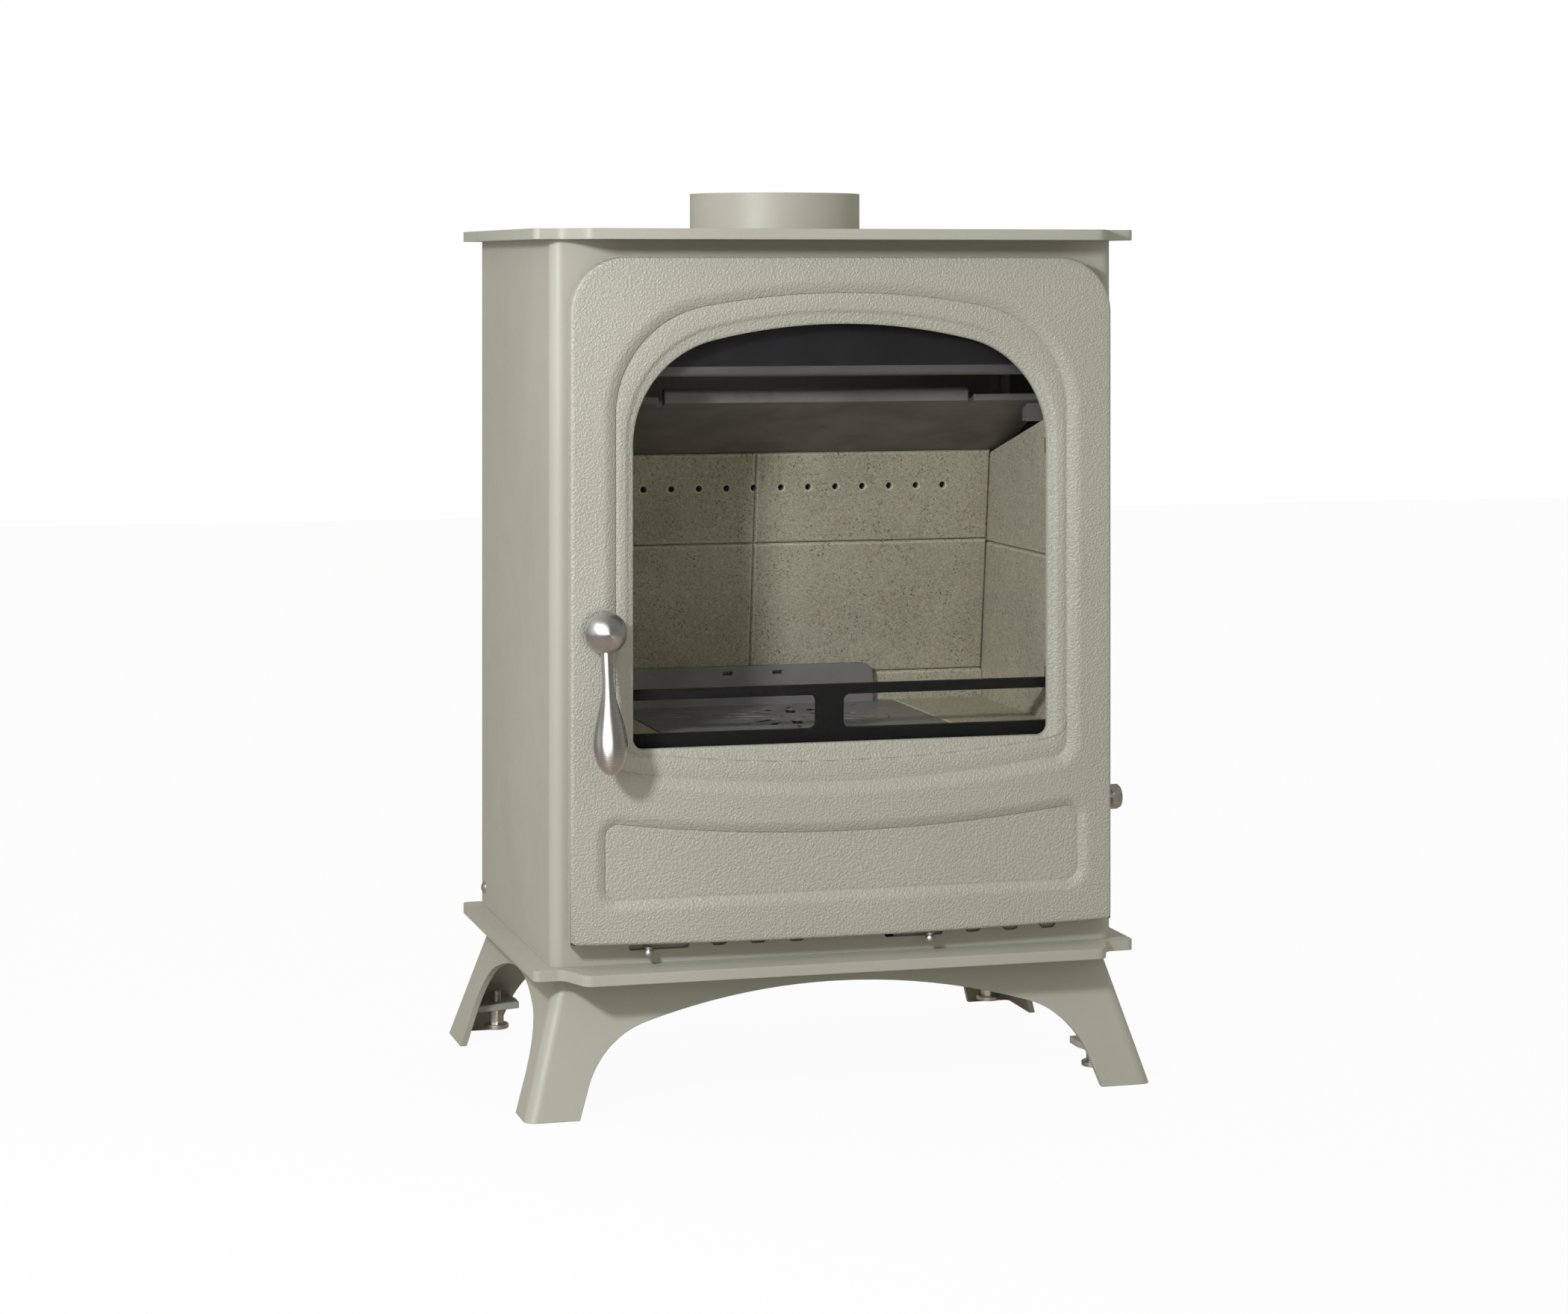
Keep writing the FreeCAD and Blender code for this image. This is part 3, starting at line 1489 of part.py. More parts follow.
def make_slide_guides():
    """Two folded strips behind the front frame that hold the slides."""
    wall = front + d.casing_wall
    lip = wall + d.slide_gap * 2 + d.slide_thick
    far = wall + d.guide_depth
    low, high = deck + d.slide_low, deck + d.slide_high
    sheet_low = low - d.guide_lip - d.slide_gap
    sheet_high = high + d.guide_lip + d.slide_gap
    lower = slab("lower_guide", "YZ_Plane", -d.guide_half, [
        (wall, sheet_low),
        (far, sheet_low),
        (far, low + d.guide_lip),
        (lip, low + d.guide_lip),
        (lip, low - d.slide_gap),
        (wall, low - d.slide_gap),
    ], d.guide_half * 2)
    upper = slab("upper_guide", "YZ_Plane", -d.guide_half, [
        (wall, sheet_high),
        (wall, high + d.slide_gap),
        (lip, high + d.slide_gap),
        (lip, high - d.guide_lip),
        (far, high - d.guide_lip),
        (far, sheet_high),
    ], d.guide_half * 2)
    keep(group("slide_guides", [lower, upper]), "slide_guides")


def make_shelves():
    """Ash shelf, fire shelf with its brackets, and the ledge behind the back bricks."""
    side = inner - d.sheet_gap
    top = deck + d.ash_shelf_top
    low = top - d.ash_shelf_thick
    near_edge = front + d.casing_wall + d.guide_depth + d.overrun
    far_edge = back - d.back_flange - d.overrun
    ash = slab("ash_shelf", "XZ_Plane", -far_edge, [
        (-side, top),
        (-side, top - d.ash_shelf_flange),
        (-side + d.ash_shelf_thick, top - d.ash_shelf_flange),
        (-side + d.ash_shelf_thick, low),
        (side - d.ash_shelf_thick, low),
        (side - d.ash_shelf_thick, top - d.ash_shelf_flange),
        (side, top - d.ash_shelf_flange),
        (side, top),
    ], far_edge - near_edge)
    drawing = sketch(ash, "XY_Plane", top)
    outline(drawing, rectangle(-d.ash_slot_half, d.ash_slot_half,
                               front + d.ash_slot_depth - d.ash_slot_width / 2,
                               front + d.ash_slot_depth + d.ash_slot_width / 2))
    for end in (-1, 1):
        edges = (side - d.channel_depth + d.channel_sheet, side - d.ash_shelf_thick)
        ends = edges if end > 0 else (-edges[1], -edges[0])
        outline(drawing, rectangle(ends[0], ends[1],
                                   front + d.channel_front + d.channel_sheet,
                                   front + d.channel_back - d.channel_sheet))
    pocket(ash, drawing, d.ash_shelf_thick + d.overrun)
    keep(ash, "ash_shelf")

    level = deck + d.fire_shelf_top
    shelf_back = back - d.panel_sheet - d.sheet_gap
    notch = side - d.channel_depth - d.brick_gap
    wide = d.fire_shelf_half
    notch_front = front + d.channel_front - d.brick_gap
    notch_back = front + d.channel_back + d.brick_gap
    fire = slab("fire_shelf", "XY_Plane", level - d.fire_shelf_thick, [
        (-wide, front + d.fire_shelf_front),
        (wide, front + d.fire_shelf_front),
        (wide, notch_front),
        (notch, notch_front),
        (notch, notch_back),
        (wide, notch_back),
        (wide, shelf_back),
        (-wide, shelf_back),
        (-wide, notch_back),
        (-notch, notch_back),
        (-notch, notch_front),
        (-wide, notch_front),
    ], d.fire_shelf_thick)
    drawing = sketch(fire, "XY_Plane", level)
    margin = d.shelf_hole_margin
    outline(drawing, rectangle(-d.grate_left + margin, d.grate_right - margin,
                               front + d.shelf_hole_front, front + d.shelf_hole_back))
    pocket(fire, drawing, d.fire_shelf_thick + d.overrun)
    keep(fire, "fire_shelf")

    under = level - d.fire_shelf_thick
    leg, sheet_thick = d.fire_shelf_bracket, d.bracket_sheet
    strips = []
    for name, start, end in (
        ("front", front + d.fire_shelf_front, notch_front),
        ("rear", notch_back, back - d.back_flange - d.overrun),
    ):
        for side_name, hand in (("left", -1), ("right", 1)):
            corners = [
                (side * hand, under),
                ((side - leg) * hand, under),
                ((side - leg) * hand, under - sheet_thick),
                ((side - sheet_thick) * hand, under - sheet_thick),
                ((side - sheet_thick) * hand, under - leg),
                (side * hand, under - leg),
            ]
            strips.append(slab("shelf_strip_%s_%s" % (name, side_name), "XZ_Plane", -end,
                               corners, end - start))
    keep(group("fire_shelf_brackets", strips), "fire_shelf_brackets")

    ledge_top = deck + d.ledge_level + d.ledge_thick
    ledge = slab("smoke_ledge", "YZ_Plane", -d.ledge_half, [
        (front + d.ledge_front, deck + d.ledge_level),
        (shelf_back - d.ledge_thick, deck + d.ledge_level),
        (shelf_back - d.ledge_thick, deck + d.ledge_level - d.ledge_flange),
        (shelf_back, deck + d.ledge_level - d.ledge_flange),
        (shelf_back, ledge_top),
        (front + d.ledge_front, ledge_top),
    ], d.ledge_half * 2)
    keep(ledge, "smoke_ledge")


def radial_slot(drawing, x, y, near_radius, far_radius, angle, width):
    """A round-ended slot along a ray from a centre, at an angle in degrees."""
    ray_x, ray_y = cos_of(angle), sin_of(angle)
    start = (x + near_radius * ray_x, y + near_radius * ray_y)
    end = (x + far_radius * ray_x, y + far_radius * ray_y)
    off_x, off_y = width * ray_y, width * ray_x
    tip_x, tip_y = width * ray_x, width * ray_y
    outline(drawing, [
        (end[0] + off_x, end[1] - off_y),
        (end[0] + tip_x, end[1] + tip_y, width, 1),
        (end[0] - off_x, end[1] + off_y, width, 1),
        (start[0] - off_x, start[1] + off_y),
        (start[0] - tip_x, start[1] - tip_y, width, 1),
        (start[0] + off_x, start[1] - off_y, width, 1),
    ])


def make_grate():
    """Grate frame with its upstand, and the riddling disc that turns in it."""
    low = deck + d.fire_shelf_top + d.weld_gap
    top = deck + d.grate_top
    x, y = d.disc_side, front + d.disc_depth
    left, right = -d.grate_left, d.grate_right
    near_edge, far_edge = front + d.grate_front, front + d.grate_back
    radius = d.grate_corner_radius
    frame = slab("grate_frame", "XY_Plane", low,
                 round_box(left, right, near_edge, far_edge, radius, radius), top - low)
    drawing = sketch(frame, "XY_Plane", top)
    circle(drawing, x, y, d.disc_radius + d.disc_gap)
    pocket(frame, drawing, d.disc_thick + d.disc_rest)
    drawing = sketch(frame, "XY_Plane", top)
    circle(drawing, x, y, d.disc_radius - d.disc_seat)
    pocket(frame, drawing, top - low + d.overrun)
    drawing = sketch(frame, "XY_Plane", top)
    slots = (
        (d.frame_slot_near, 168),
        (d.frame_slot_near, 139),
        (d.frame_slot_near, 153),
        (d.frame_slot_far, 153),
        (d.frame_slot_near, 41),
        (d.frame_slot_near, 27),
    )
    for distance, angle in slots:
        radial_slot(drawing, x, y, distance - d.frame_slot_half, distance + d.frame_slot_half,
                    as_size(angle), d.frame_slot_round)
    pocket(frame, drawing, top - low + d.overrun)
    stand_top = deck + d.grate_top + d.upstand_height
    bend = d.upstand_radius
    drawing = sketch(frame, "XZ_Plane", -far_edge)
    outline(drawing, [
        (left + radius, top - d.disc_thick),
        (d.upstand_right, top - d.disc_thick),
        (d.upstand_right, stand_top - bend),
        (d.upstand_right - bend, stand_top, bend, 1),
        (left + radius, stand_top),
    ])
    level = deck + d.upstand_slot_level
    for middle in (d.upstand_slot_first, d.upstand_slot_second):
        outline(drawing, rectangle(middle - d.upstand_slot_half, middle + d.upstand_slot_half,
                                   level, level + d.upstand_slot_height))
    pad(frame, drawing, d.upstand_thick)
    keep(frame, "grate_frame")

    disc = new_body("grate_disc")
    drawing = sketch(disc, "XY_Plane", top - d.disc_thick)
    circle(drawing, NIL, NIL, d.disc_radius)
    pad(disc, drawing, d.disc_thick)
    pitch = as_size(360) / d.inner_slot_count
    between = d.slot_turn + pitch / 2
    drawing = sketch(disc, "XY_Plane", top)
    radial_slot(drawing, NIL, NIL, d.inner_slot_radius - d.inner_slot_half + d.slot_wide_radius,
                d.inner_slot_radius + d.inner_slot_half - d.slot_wide_radius, d.slot_turn,
                d.slot_wide_radius)
    radial_slot(drawing, NIL, NIL, d.outer_slot_radius - d.outer_slot_half,
                d.outer_slot_radius + d.outer_slot_half, d.slot_turn, d.slot_narrow_radius)
    radial_slot(drawing, NIL, NIL, d.middle_slot_radius - d.middle_slot_half,
                d.middle_slot_radius + d.middle_slot_half, between, d.slot_middle_radius)
    for turn in (-1, 1):
        spot = between + d.disc_dot_turn * turn
        circle(drawing, d.disc_dot_place * cos_of(spot), d.disc_dot_place * sin_of(spot),
               d.disc_dot_radius)
    slots = pocket(disc, drawing, d.disc_thick + d.overrun)
    axis = [item for item in disc.Origin.OriginFeatures if item.Role == "Z_Axis"][0]
    ring = disc.newObject("PartDesign::PolarPattern", "grate_disc_slots")
    ring.Originals = [slots]
    ring.Axis = (axis, [""])
    ring.Angle = WHOLE_TURN
    ring.setExpression("Occurrences", "sizes.inner_slot_count")
    disc.Tip = ring
    drawing = sketch(disc, "XY_Plane", top)
    circle(drawing, NIL, NIL, d.hub_groove_outer)
    circle(drawing, NIL, NIL, d.hub_groove_inner)
    pocket(disc, drawing, d.hub_groove_depth)
    drawing = sketch(disc, "XY_Plane", top - d.disc_thick)
    circle(drawing, NIL, -d.crank_radius, d.crank_pin_radius)
    pad(disc, drawing, top - d.disc_thick - deck - d.crank_pin_low, True)
    place(disc, x, y, NIL)
    keep(disc, "grate_disc")


def make_riddling_gear():
    """Riddling rod with its slotted eye, hexagon end and guide."""
    x, y = d.disc_side, front + d.disc_depth - d.crank_radius
    z = deck + d.rod_height
    eye = slab("rod_eye", "XY_Plane", z - d.rod_eye_thick / 2,
               rectangle(x - d.rod_eye_half, x + d.rod_eye_half, y - d.rod_eye_half,
                         y + d.rod_eye_half), d.rod_eye_thick)
    drawing = sketch(eye, "XY_Plane", z + d.rod_eye_thick / 2)
    wide = d.rod_eye_slot_radius
    reach = d.rod_eye_slot_reach
    outline(drawing, [
        (x + wide, y + reach),
        (x, y + reach + wide, wide, 1),
        (x - wide, y + reach, wide, 1),
        (x - wide, y),
        (x, y - wide, wide, 1),
        (x + wide, y, wide, 1),
    ])
    pocket(eye, drawing, d.rod_eye_thick + d.overrun)
    start = x + d.rod_eye_half - d.overrun
    bar = rod("rod_bar", "x", (start, y, z), d.rod_radius, d.rod_end - start)
    keep(fuse("riddling_rod", [eye, bar]), "riddling_rod")
    head = new_body("riddling_hex")
    drawing = sketch(head, "YZ_Plane", d.rod_end)
    hexagon(drawing, d.hex_flats, y, z)
    pad(head, drawing, d.hex_length)
    keep(head, "riddling_hex")
    under = deck + d.fire_shelf_top - d.fire_shelf_thick
    guide = slab("rod_guide", "YZ_Plane", d.rod_guide_place,
                 rectangle(y - d.rod_guide_half, y + d.rod_guide_half,
                           deck + d.rod_guide_low, under), d.rod_guide_thick)
    drawing = sketch(guide, "YZ_Plane", d.rod_guide_place + d.rod_guide_thick + d.overrun)
    circle(drawing, y, z, d.rod_radius + d.rod_clearance)
    pocket(guide, drawing, d.rod_guide_thick + d.overrun * 2)
    keep(guide, "rod_guide")


def bevel_face(body, test):
    """Chamfer the visible edges of a brick."""
    bevel_edges(body, d.brick_chamfer, test)


def make_side_bricks():
    """Two stacked bricks on each side; the upper ones have sloping tops."""
    low = deck + d.fire_shelf_top + d.weld_gap
    gap = d.brick_gap / 2
    split = deck + d.side_brick_split
    near_edge, far_edge = front + d.side_brick_front, front + d.side_brick_back
    bend = front + d.side_brick_bend
    for side_name, hand in (("left", -1), ("right", 1)):
        level = d.brick_side if hand > 0 else -d.brick_side - d.brick_thick
        face = (d.brick_side * hand).number
        lower = slab("side_brick_lower_" + side_name, "YZ_Plane", level, rectangle(
            near_edge, far_edge, low, split - gap), d.brick_thick)
        upper = slab("side_brick_upper_" + side_name, "YZ_Plane", level, [
            (near_edge, split + gap),
            (far_edge, split + gap),
            (far_edge, deck + d.side_brick_rear_top),
            (bend, deck + d.side_brick_rear_top),
            (near_edge, deck + d.side_brick_front_top),
        ], d.brick_thick)
        for brick in (lower, upper):
            bevel_face(brick, lambda a, b, _edge: near(a.x, face) and near(b.x, face))
        keep(lower, "side_brick_lower_" + side_name)
        keep(upper, "side_brick_upper_" + side_name)


def lean_at(level):
    """Depth of the back bricks' front face at a level above the deck."""
    slope = (d.back_brick_head - d.back_brick_foot) / (d.back_brick_high - d.back_brick_low)
    return front + d.back_brick_foot + slope * (level - d.back_brick_low)


def leaning_slab(name, low, high, left, right):
    """A back brick between two levels: its faces lean forward."""
    thick = d.back_brick_thick
    return slab(name, "YZ_Plane", left, [
        (lean_at(low), deck + low),
        (lean_at(low) + thick, deck + low),
        (lean_at(high) + thick, deck + high),
        (lean_at(high), deck + high),
    ], right - left)


def make_back_bricks():
    """Two columns of two leaning bricks, the upper row drilled for air, and the floor bricks."""
    gap = d.brick_gap / 2
    split = d.back_brick_split
    wide = d.brick_side - d.brick_gap
    columns = (
        ("left", -wide, d.back_brick_joint - gap),
        ("right", d.back_brick_joint + gap, wide),
    )
    first = -(d.air_hole_pitch * (d.air_hole_count - 1) / 2)
    for name, left, right in columns:
        lower = leaning_slab("back_brick_lower_" + name, d.back_brick_low + d.weld_gap,
                             split - gap, left, right)
        upper = leaning_slab("back_brick_upper_" + name, split + gap, d.back_brick_high,
                             left, right)
        for brick in (lower, upper):
            doc.recompute()
            limit = brick.Shape.BoundBox
            levels = (limit.ZMin, limit.ZMax)
            depths = [lean_at(as_size(z) - deck).number for z in levels]

            def in_front(a, b, _edge, levels=levels, depths=depths):
                def on_face(p):
                    share = (p.z - levels[0]) / (levels[1] - levels[0])
                    return near(p.y, depths[0] + (depths[1] - depths[0]) * share)
                return on_face(a) and on_face(b)

            bevel_face(brick, in_front)
        drawing = sketch(upper, "XZ_Plane", -(front + d.back_brick_head - d.overrun * 5))
        for index in range(int(SIZES["air_hole_count"])):
            x = first + d.air_hole_pitch * index
            radius = SIZES["air_hole_radius"]
            if left.number < x.number + radius and x.number - radius < right.number:
                circle(drawing, x, deck + d.air_hole_level, d.air_hole_radius)
        pocket(upper, drawing, d.back_brick_thick * 2)
        keep(lower, "back_brick_lower_" + name)
        keep(upper, "back_brick_upper_" + name)
    low = deck + d.fire_shelf_top + d.weld_gap
    top = deck + d.grate_top
    near_edge = front + d.side_brick_front
    rear_front = front + d.floor_brick_front
    pieces = (
        ("floor_brick_left", -wide, -d.grate_left - d.brick_gap, near_edge,
         rear_front - d.brick_gap, top),
        ("floor_brick_right", d.grate_right + d.brick_gap, wide, near_edge,
         rear_front - d.brick_gap, top),
        ("floor_brick_rear", -wide, wide, rear_front, front + d.floor_brick_back,
         deck + d.back_brick_low),
    )
    for name, left, right, start, end, high in pieces:
        brick = slab(name, "XY_Plane", low, rectangle(left, right, start, end), high - low)
        level = high.number
        bevel_face(brick, lambda a, b, _edge, level=level: near(a.z, level) and near(b.z, level))
        keep(brick, name)


def make_throat_plate():
    """Sloping throat plate with its front lip, and the lugs that carry its front."""
    heel = front + d.throat_heel
    tip = front + d.throat_tip
    low = deck + d.back_brick_high + d.throat_rest
    high = deck + d.throat_tip_level
    thick = d.throat_thick
    body = slab("throat_plate", "YZ_Plane", -d.throat_half, [
        (tip, high),
        (heel, low),
        (front + d.throat_heel_back, low),
        (front + d.throat_heel_back, low + thick),
        (heel, low + thick),
        (tip, high + thick),
    ], d.throat_half * 2)
    for hand in (-1, 1):
        edges = (d.lip_half, d.lip_half + d.lip_notch)
        ends = edges if hand > 0 else (-edges[1], -edges[0])
        drawing = sketch(body, "XY_Plane", high - d.overrun * 4)
        outline(drawing, rectangle(ends[0], ends[1], tip - d.overrun, tip + d.lip_notch_depth))
        pocket(body, drawing, thick + d.overrun * 8, True)
    drawing = sketch(body, "YZ_Plane", -d.lip_half)
    bend = d.lip_round
    lip_top = high + d.lip_height
    outline(drawing, [
        (tip, high),
        (tip + d.lip_depth, high - d.overrun),
        (tip + d.lip_depth, lip_top - bend),
        (tip + d.lip_depth - bend, lip_top, bend, 1),
        (tip + bend, lip_top),
        (tip, lip_top - bend, bend, 1),
    ])
    pad(body, drawing, d.lip_half * 2)
    keep(body, "throat_plate")
    lugs = []
    side = inner - d.sheet_gap
    slope = (high - low) / (heel - tip)
    for name, hand in (("left", -1), ("right", 1)):
        ends = ((side - d.lug_reach), side) if hand > 0 else (-side, -(side - d.lug_reach))
        level = deck + d.lug_level
        start, end = front + d.lug_front, front + d.lug_back
        under_start = low + slope * (heel - start) - d.throat_rest
        under_end = low + slope * (heel - end) - d.throat_rest
        lugs.append(slab("throat_lug_" + name, "YZ_Plane", ends[0], [
            (start, level),
            (end, level),
            (end, under_end),
            (start, under_start),
        ], ends[1] - ends[0]))
    keep(group("throat_plate_lugs", lugs), "throat_plate_lugs")


def make_airwash_plate():
    """Plate above the window that sends air down the glass, with a rolled lower edge."""
    side = inner - d.sheet_gap
    start = front + d.wash_front
    end = start + d.wash_thick
    low = deck + d.wash_low
    top = roof - d.weld_gap
    plate = slab("wash_sheet", "YZ_Plane", -side, [
        (start, low),
        (end, low),
        (end, top - d.wash_thick),
        (start + d.wash_flange, top - d.wash_thick),
        (start + d.wash_flange, top),
        (start, top),
    ], side * 2)
    middle = start + d.wash_hem_radius
    drawing = sketch(plate, "YZ_Plane", -side)
    circle(drawing, middle, low, d.wash_hem_radius)
    pad(plate, drawing, side * 2)
    keep(plate, "airwash_plate")


def make_air_channels():
    """Folded channels against the sides that lead air up to the airwash plate."""
    side = inner - d.sheet_gap
    thick = d.channel_sheet
    low = deck + d.ash_shelf_top + d.weld_gap
    high = deck + d.channel_high
    start, end = front + d.channel_front, front + d.channel_back
    channels = []
    for name, hand in (("left", -1), ("right", 1)):
        face = side - d.channel_depth
        corners = [
            (side * hand, start),
            (face * hand, start),
            (face * hand, end),
            (side * hand, end),
            (side * hand, end - thick),
            ((face + thick) * hand, end - thick),
            ((face + thick) * hand, start + thick),
            (side * hand, start + thick),
        ]
        if hand > 0:
            corners.reverse()
        channels.append(slab("air_channel_" + name, "XY_Plane", low, corners, high - low))
    keep(group("air_channels", channels), "air_channels")


def make_rear_air_box():
    """Box between the back panel and the drilled bricks, open towards the back panel."""
    sheet_thick = d.box_sheet
    gap = d.back_brick_thick + d.brick_gap
    rear = back - d.panel_sheet - d.sheet_gap
    body = slab("rear_air_box", "YZ_Plane", -d.box_half, [
        (lean_at(d.box_low) + gap, deck + d.box_low),
        (rear, deck + d.box_low),
        (rear, deck + d.box_high),
        (lean_at(d.box_high) + gap, deck + d.box_high),
    ], d.box_half * 2)
    low, high = d.box_low + sheet_thick, d.box_high - sheet_thick
    inside = d.box_half - sheet_thick
    drawing = sketch(body, "YZ_Plane", inside)
    outline(drawing, [
        (lean_at(low) + gap + sheet_thick, deck + low),
        (rear + d.overrun, deck + low),
        (rear + d.overrun, deck + high),
        (lean_at(high) + gap + sheet_thick, deck + high),
    ])
    pocket(body, drawing, inside * 2)
    drawing = sketch(body, "XZ_Plane", -(front + d.back_brick_head))
    first = -(d.air_hole_pitch * (d.air_hole_count - 1) / 2)
    for index in range(int(SIZES["air_hole_count"])):
        circle(drawing, first + d.air_hole_pitch * index, deck + d.air_hole_level,
               d.air_hole_radius + d.brick_gap)
    pocket(body, drawing, d.back_brick_thick * 2)
    keep(body, "rear_air_box")


def make_log_guard():
    """Log guard of two bars and a post, and the keepers that it drops into."""
    start = front + d.guard_front
    low, high = deck + d.guard_low, deck + d.guard_high
    inside = d.guard_half - d.guard_end
    bar_low, bar_high = low + d.guard_low_bar, high - d.guard_top_bar
    post = d.guard_post_centre
    radius = d.guard_corner_radius
    body = slab("log_guard", "XZ_Plane", -(start + d.guard_thick),
                rectangle(-d.guard_half, d.guard_half, low, high), d.guard_thick)
    drawing = sketch(body, "XZ_Plane", -(start - d.overrun))
    outline(drawing, round_box(-inside, post - d.guard_post_half, bar_low, bar_high,
                               radius, radius))
    outline(drawing, round_box(post + d.guard_post_half, inside, bar_low, bar_high,
                               radius, radius))
    pocket(body, drawing, d.guard_thick + d.overrun * 2)
    keep(body, "log_guard")
    keepers = []
    wall = front + d.casing_wall
    for name, hand in (("left", -1), ("right", 1)):
        def across(first, second):
            return (first, second) if hand > 0 else (-second, -first)

        outer = across(d.keeper_inner, d.keeper_outer)
        slot = across(d.keeper_inner - d.overrun, d.keeper_slot_end)
        block = box("keeper_block_" + name, (outer[0], wall, deck + d.keeper_low),
                    (outer[1], front + d.keeper_back, deck + d.keeper_high))
        space = box("keeper_slot_" + name,
                    (slot[0], start - d.keeper_gap, deck + d.keeper_low + d.keeper_floor),
                    (slot[1], start + d.guard_thick + d.keeper_gap,
                     deck + d.keeper_high + d.overrun))
        keepers.append(cut("guard_keeper_" + name, block, [space]))
    keep(group("guard_keepers", keepers), "guard_keepers")


def make_ash_pan():
    """Ash pan, its pull, and the rails beside it."""
    low, high = deck + d.pan_low, deck + d.pan_high
    near_edge, far_edge = front + d.pan_front, front + d.pan_back
    wide, wall, radius = d.pan_half, d.pan_wall, d.pan_radius
    pan = slab("ash_pan", "XY_Plane", low,
               round_box(-wide, wide, near_edge, far_edge, radius, radius), high - low)
    drawing = sketch(pan, "XY_Plane", high)
    outline(drawing, round_box(-wide + wall, wide - wall, near_edge + wall, far_edge - wall,
                               radius - wall, radius - wall))
    pocket(pan, drawing, high - low - wall)
    keep(pan, "ash_pan")
    grip = near_edge - d.pull_reach
    thick = d.pull_thick
    side = d.pull_half
    level = deck + d.pull_low
    pull = slab("ash_pan_pull", "XY_Plane", level, [
        (-side, near_edge),
        (-side, grip),
        (side, grip),
        (side, near_edge),
        (side - thick, near_edge),
        (side - thick, grip + thick),
        (-side + thick, grip + thick),
        (-side + thick, near_edge),
    ], d.pull_height)
    keep(pull, "ash_pan_pull")
    shelf = deck + d.ash_shelf_top
    rails = []
    for name, hand in (("left", -1), ("right", 1)):
        start = (wide + d.rail_gap) * hand
        ends = (start, start + d.rail_thick) if hand > 0 else (start - d.rail_thick, start)
        rails.append(box("rail_" + name, (ends[0], near_edge, shelf),
                         (ends[1], far_edge, shelf + d.rail_height)))
    keep(group("ash_pan_rails", rails), "ash_pan_rails")


make_base_plate()
make_top_plate()
make_flue_collar()
make_leg_stand()
make_foot_tabs()
make_levelling_feet()
make_body_casing()
make_back_panel()
make_casing_screws()
make_door()
make_glass()
make_rope()
make_hinges()
make_handle()
make_air_slide("primary", d.primary_left, d.primary_right, d.primary_pin, d.primary_port)
make_air_slide("airwash", d.airwash_left, d.airwash_right, d.airwash_pin, d.airwash_port)
make_slide_guides()
make_shelves()
make_grate()
make_riddling_gear()
make_side_bricks()
make_back_bricks()
make_throat_plate()
make_airwash_plate()
make_air_channels()
make_rear_air_box()
make_log_guard()
make_ash_pan()

doc.recompute()


def check_document():
    """Stop on any object that failed, and on any sub-part with a bad shape."""
    for thing in doc.Objects:
        if "Invalid" in thing.State or "Error" in thing.State:
            raise RuntimeError("%s failed: %s" % (thing.Label, thing.State))
        if thing.TypeId in ("PartDesign::Pocket", "PartDesign::SubtractiveLoft"):
            before = thing.BaseFeature.Shape.Volume
            if thing.Shape.Volume >= before:
                raise RuntimeError("%s cuts nothing" % thing.Name)
    for piece in subparts:
        if piece.Shape.isNull() or not piece.Shape.isValid():
            raise RuntimeError("%s has a bad shape" % piece.Label)


def write_parts():
    """Write each sub-part to its own file."""
    os.makedirs("parts", exist_ok=True)
    for piece in subparts:
        piece.Shape.exportStep("parts/%s.step" % piece.Label)
        print("%-28s solids %2d  volume %9.1f cm3" % (
            piece.Label, len(piece.Shape.Solids), piece.Shape.Volume / 1000))


check_document()
write_parts()
print("sub-parts:", len(subparts))
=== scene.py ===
"""Looks of a multi-fuel stove: cast door, turned steel handle, fire bricks, grate and studio."""

import logging
import math
from dataclasses import dataclass, field
from enum import Enum
from typing import Callable, Mapping, Sequence, Union

import bmesh
import bpy
import numpy as np
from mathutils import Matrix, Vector


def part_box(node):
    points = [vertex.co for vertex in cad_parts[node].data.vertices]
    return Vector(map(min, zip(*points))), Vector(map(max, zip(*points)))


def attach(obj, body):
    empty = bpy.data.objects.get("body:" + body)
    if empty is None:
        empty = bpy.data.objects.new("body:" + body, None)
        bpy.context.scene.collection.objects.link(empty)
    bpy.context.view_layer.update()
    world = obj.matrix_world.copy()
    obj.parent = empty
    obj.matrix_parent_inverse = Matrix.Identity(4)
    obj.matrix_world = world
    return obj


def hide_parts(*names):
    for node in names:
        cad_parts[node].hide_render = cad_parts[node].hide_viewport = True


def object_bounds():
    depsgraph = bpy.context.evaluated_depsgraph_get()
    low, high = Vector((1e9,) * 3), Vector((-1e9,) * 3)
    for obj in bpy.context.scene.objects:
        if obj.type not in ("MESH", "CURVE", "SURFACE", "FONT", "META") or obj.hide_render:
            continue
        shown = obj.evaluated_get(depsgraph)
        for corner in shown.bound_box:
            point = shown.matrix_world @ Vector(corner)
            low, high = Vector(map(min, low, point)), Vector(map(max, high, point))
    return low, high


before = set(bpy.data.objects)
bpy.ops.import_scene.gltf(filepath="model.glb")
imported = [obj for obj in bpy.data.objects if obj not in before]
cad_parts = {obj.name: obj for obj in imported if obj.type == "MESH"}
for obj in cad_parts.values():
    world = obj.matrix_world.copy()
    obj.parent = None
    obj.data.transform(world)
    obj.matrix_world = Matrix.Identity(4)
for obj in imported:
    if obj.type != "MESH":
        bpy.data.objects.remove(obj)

log = logging.getLogger("stove")

Corner = Sequence[float]
Triple = tuple[float, float, float]
Tree = bpy.types.NodeTree
Socket = bpy.types.NodeSocket
Value = Union[Socket, float, tuple]
Sockets = Mapping[str, Socket]

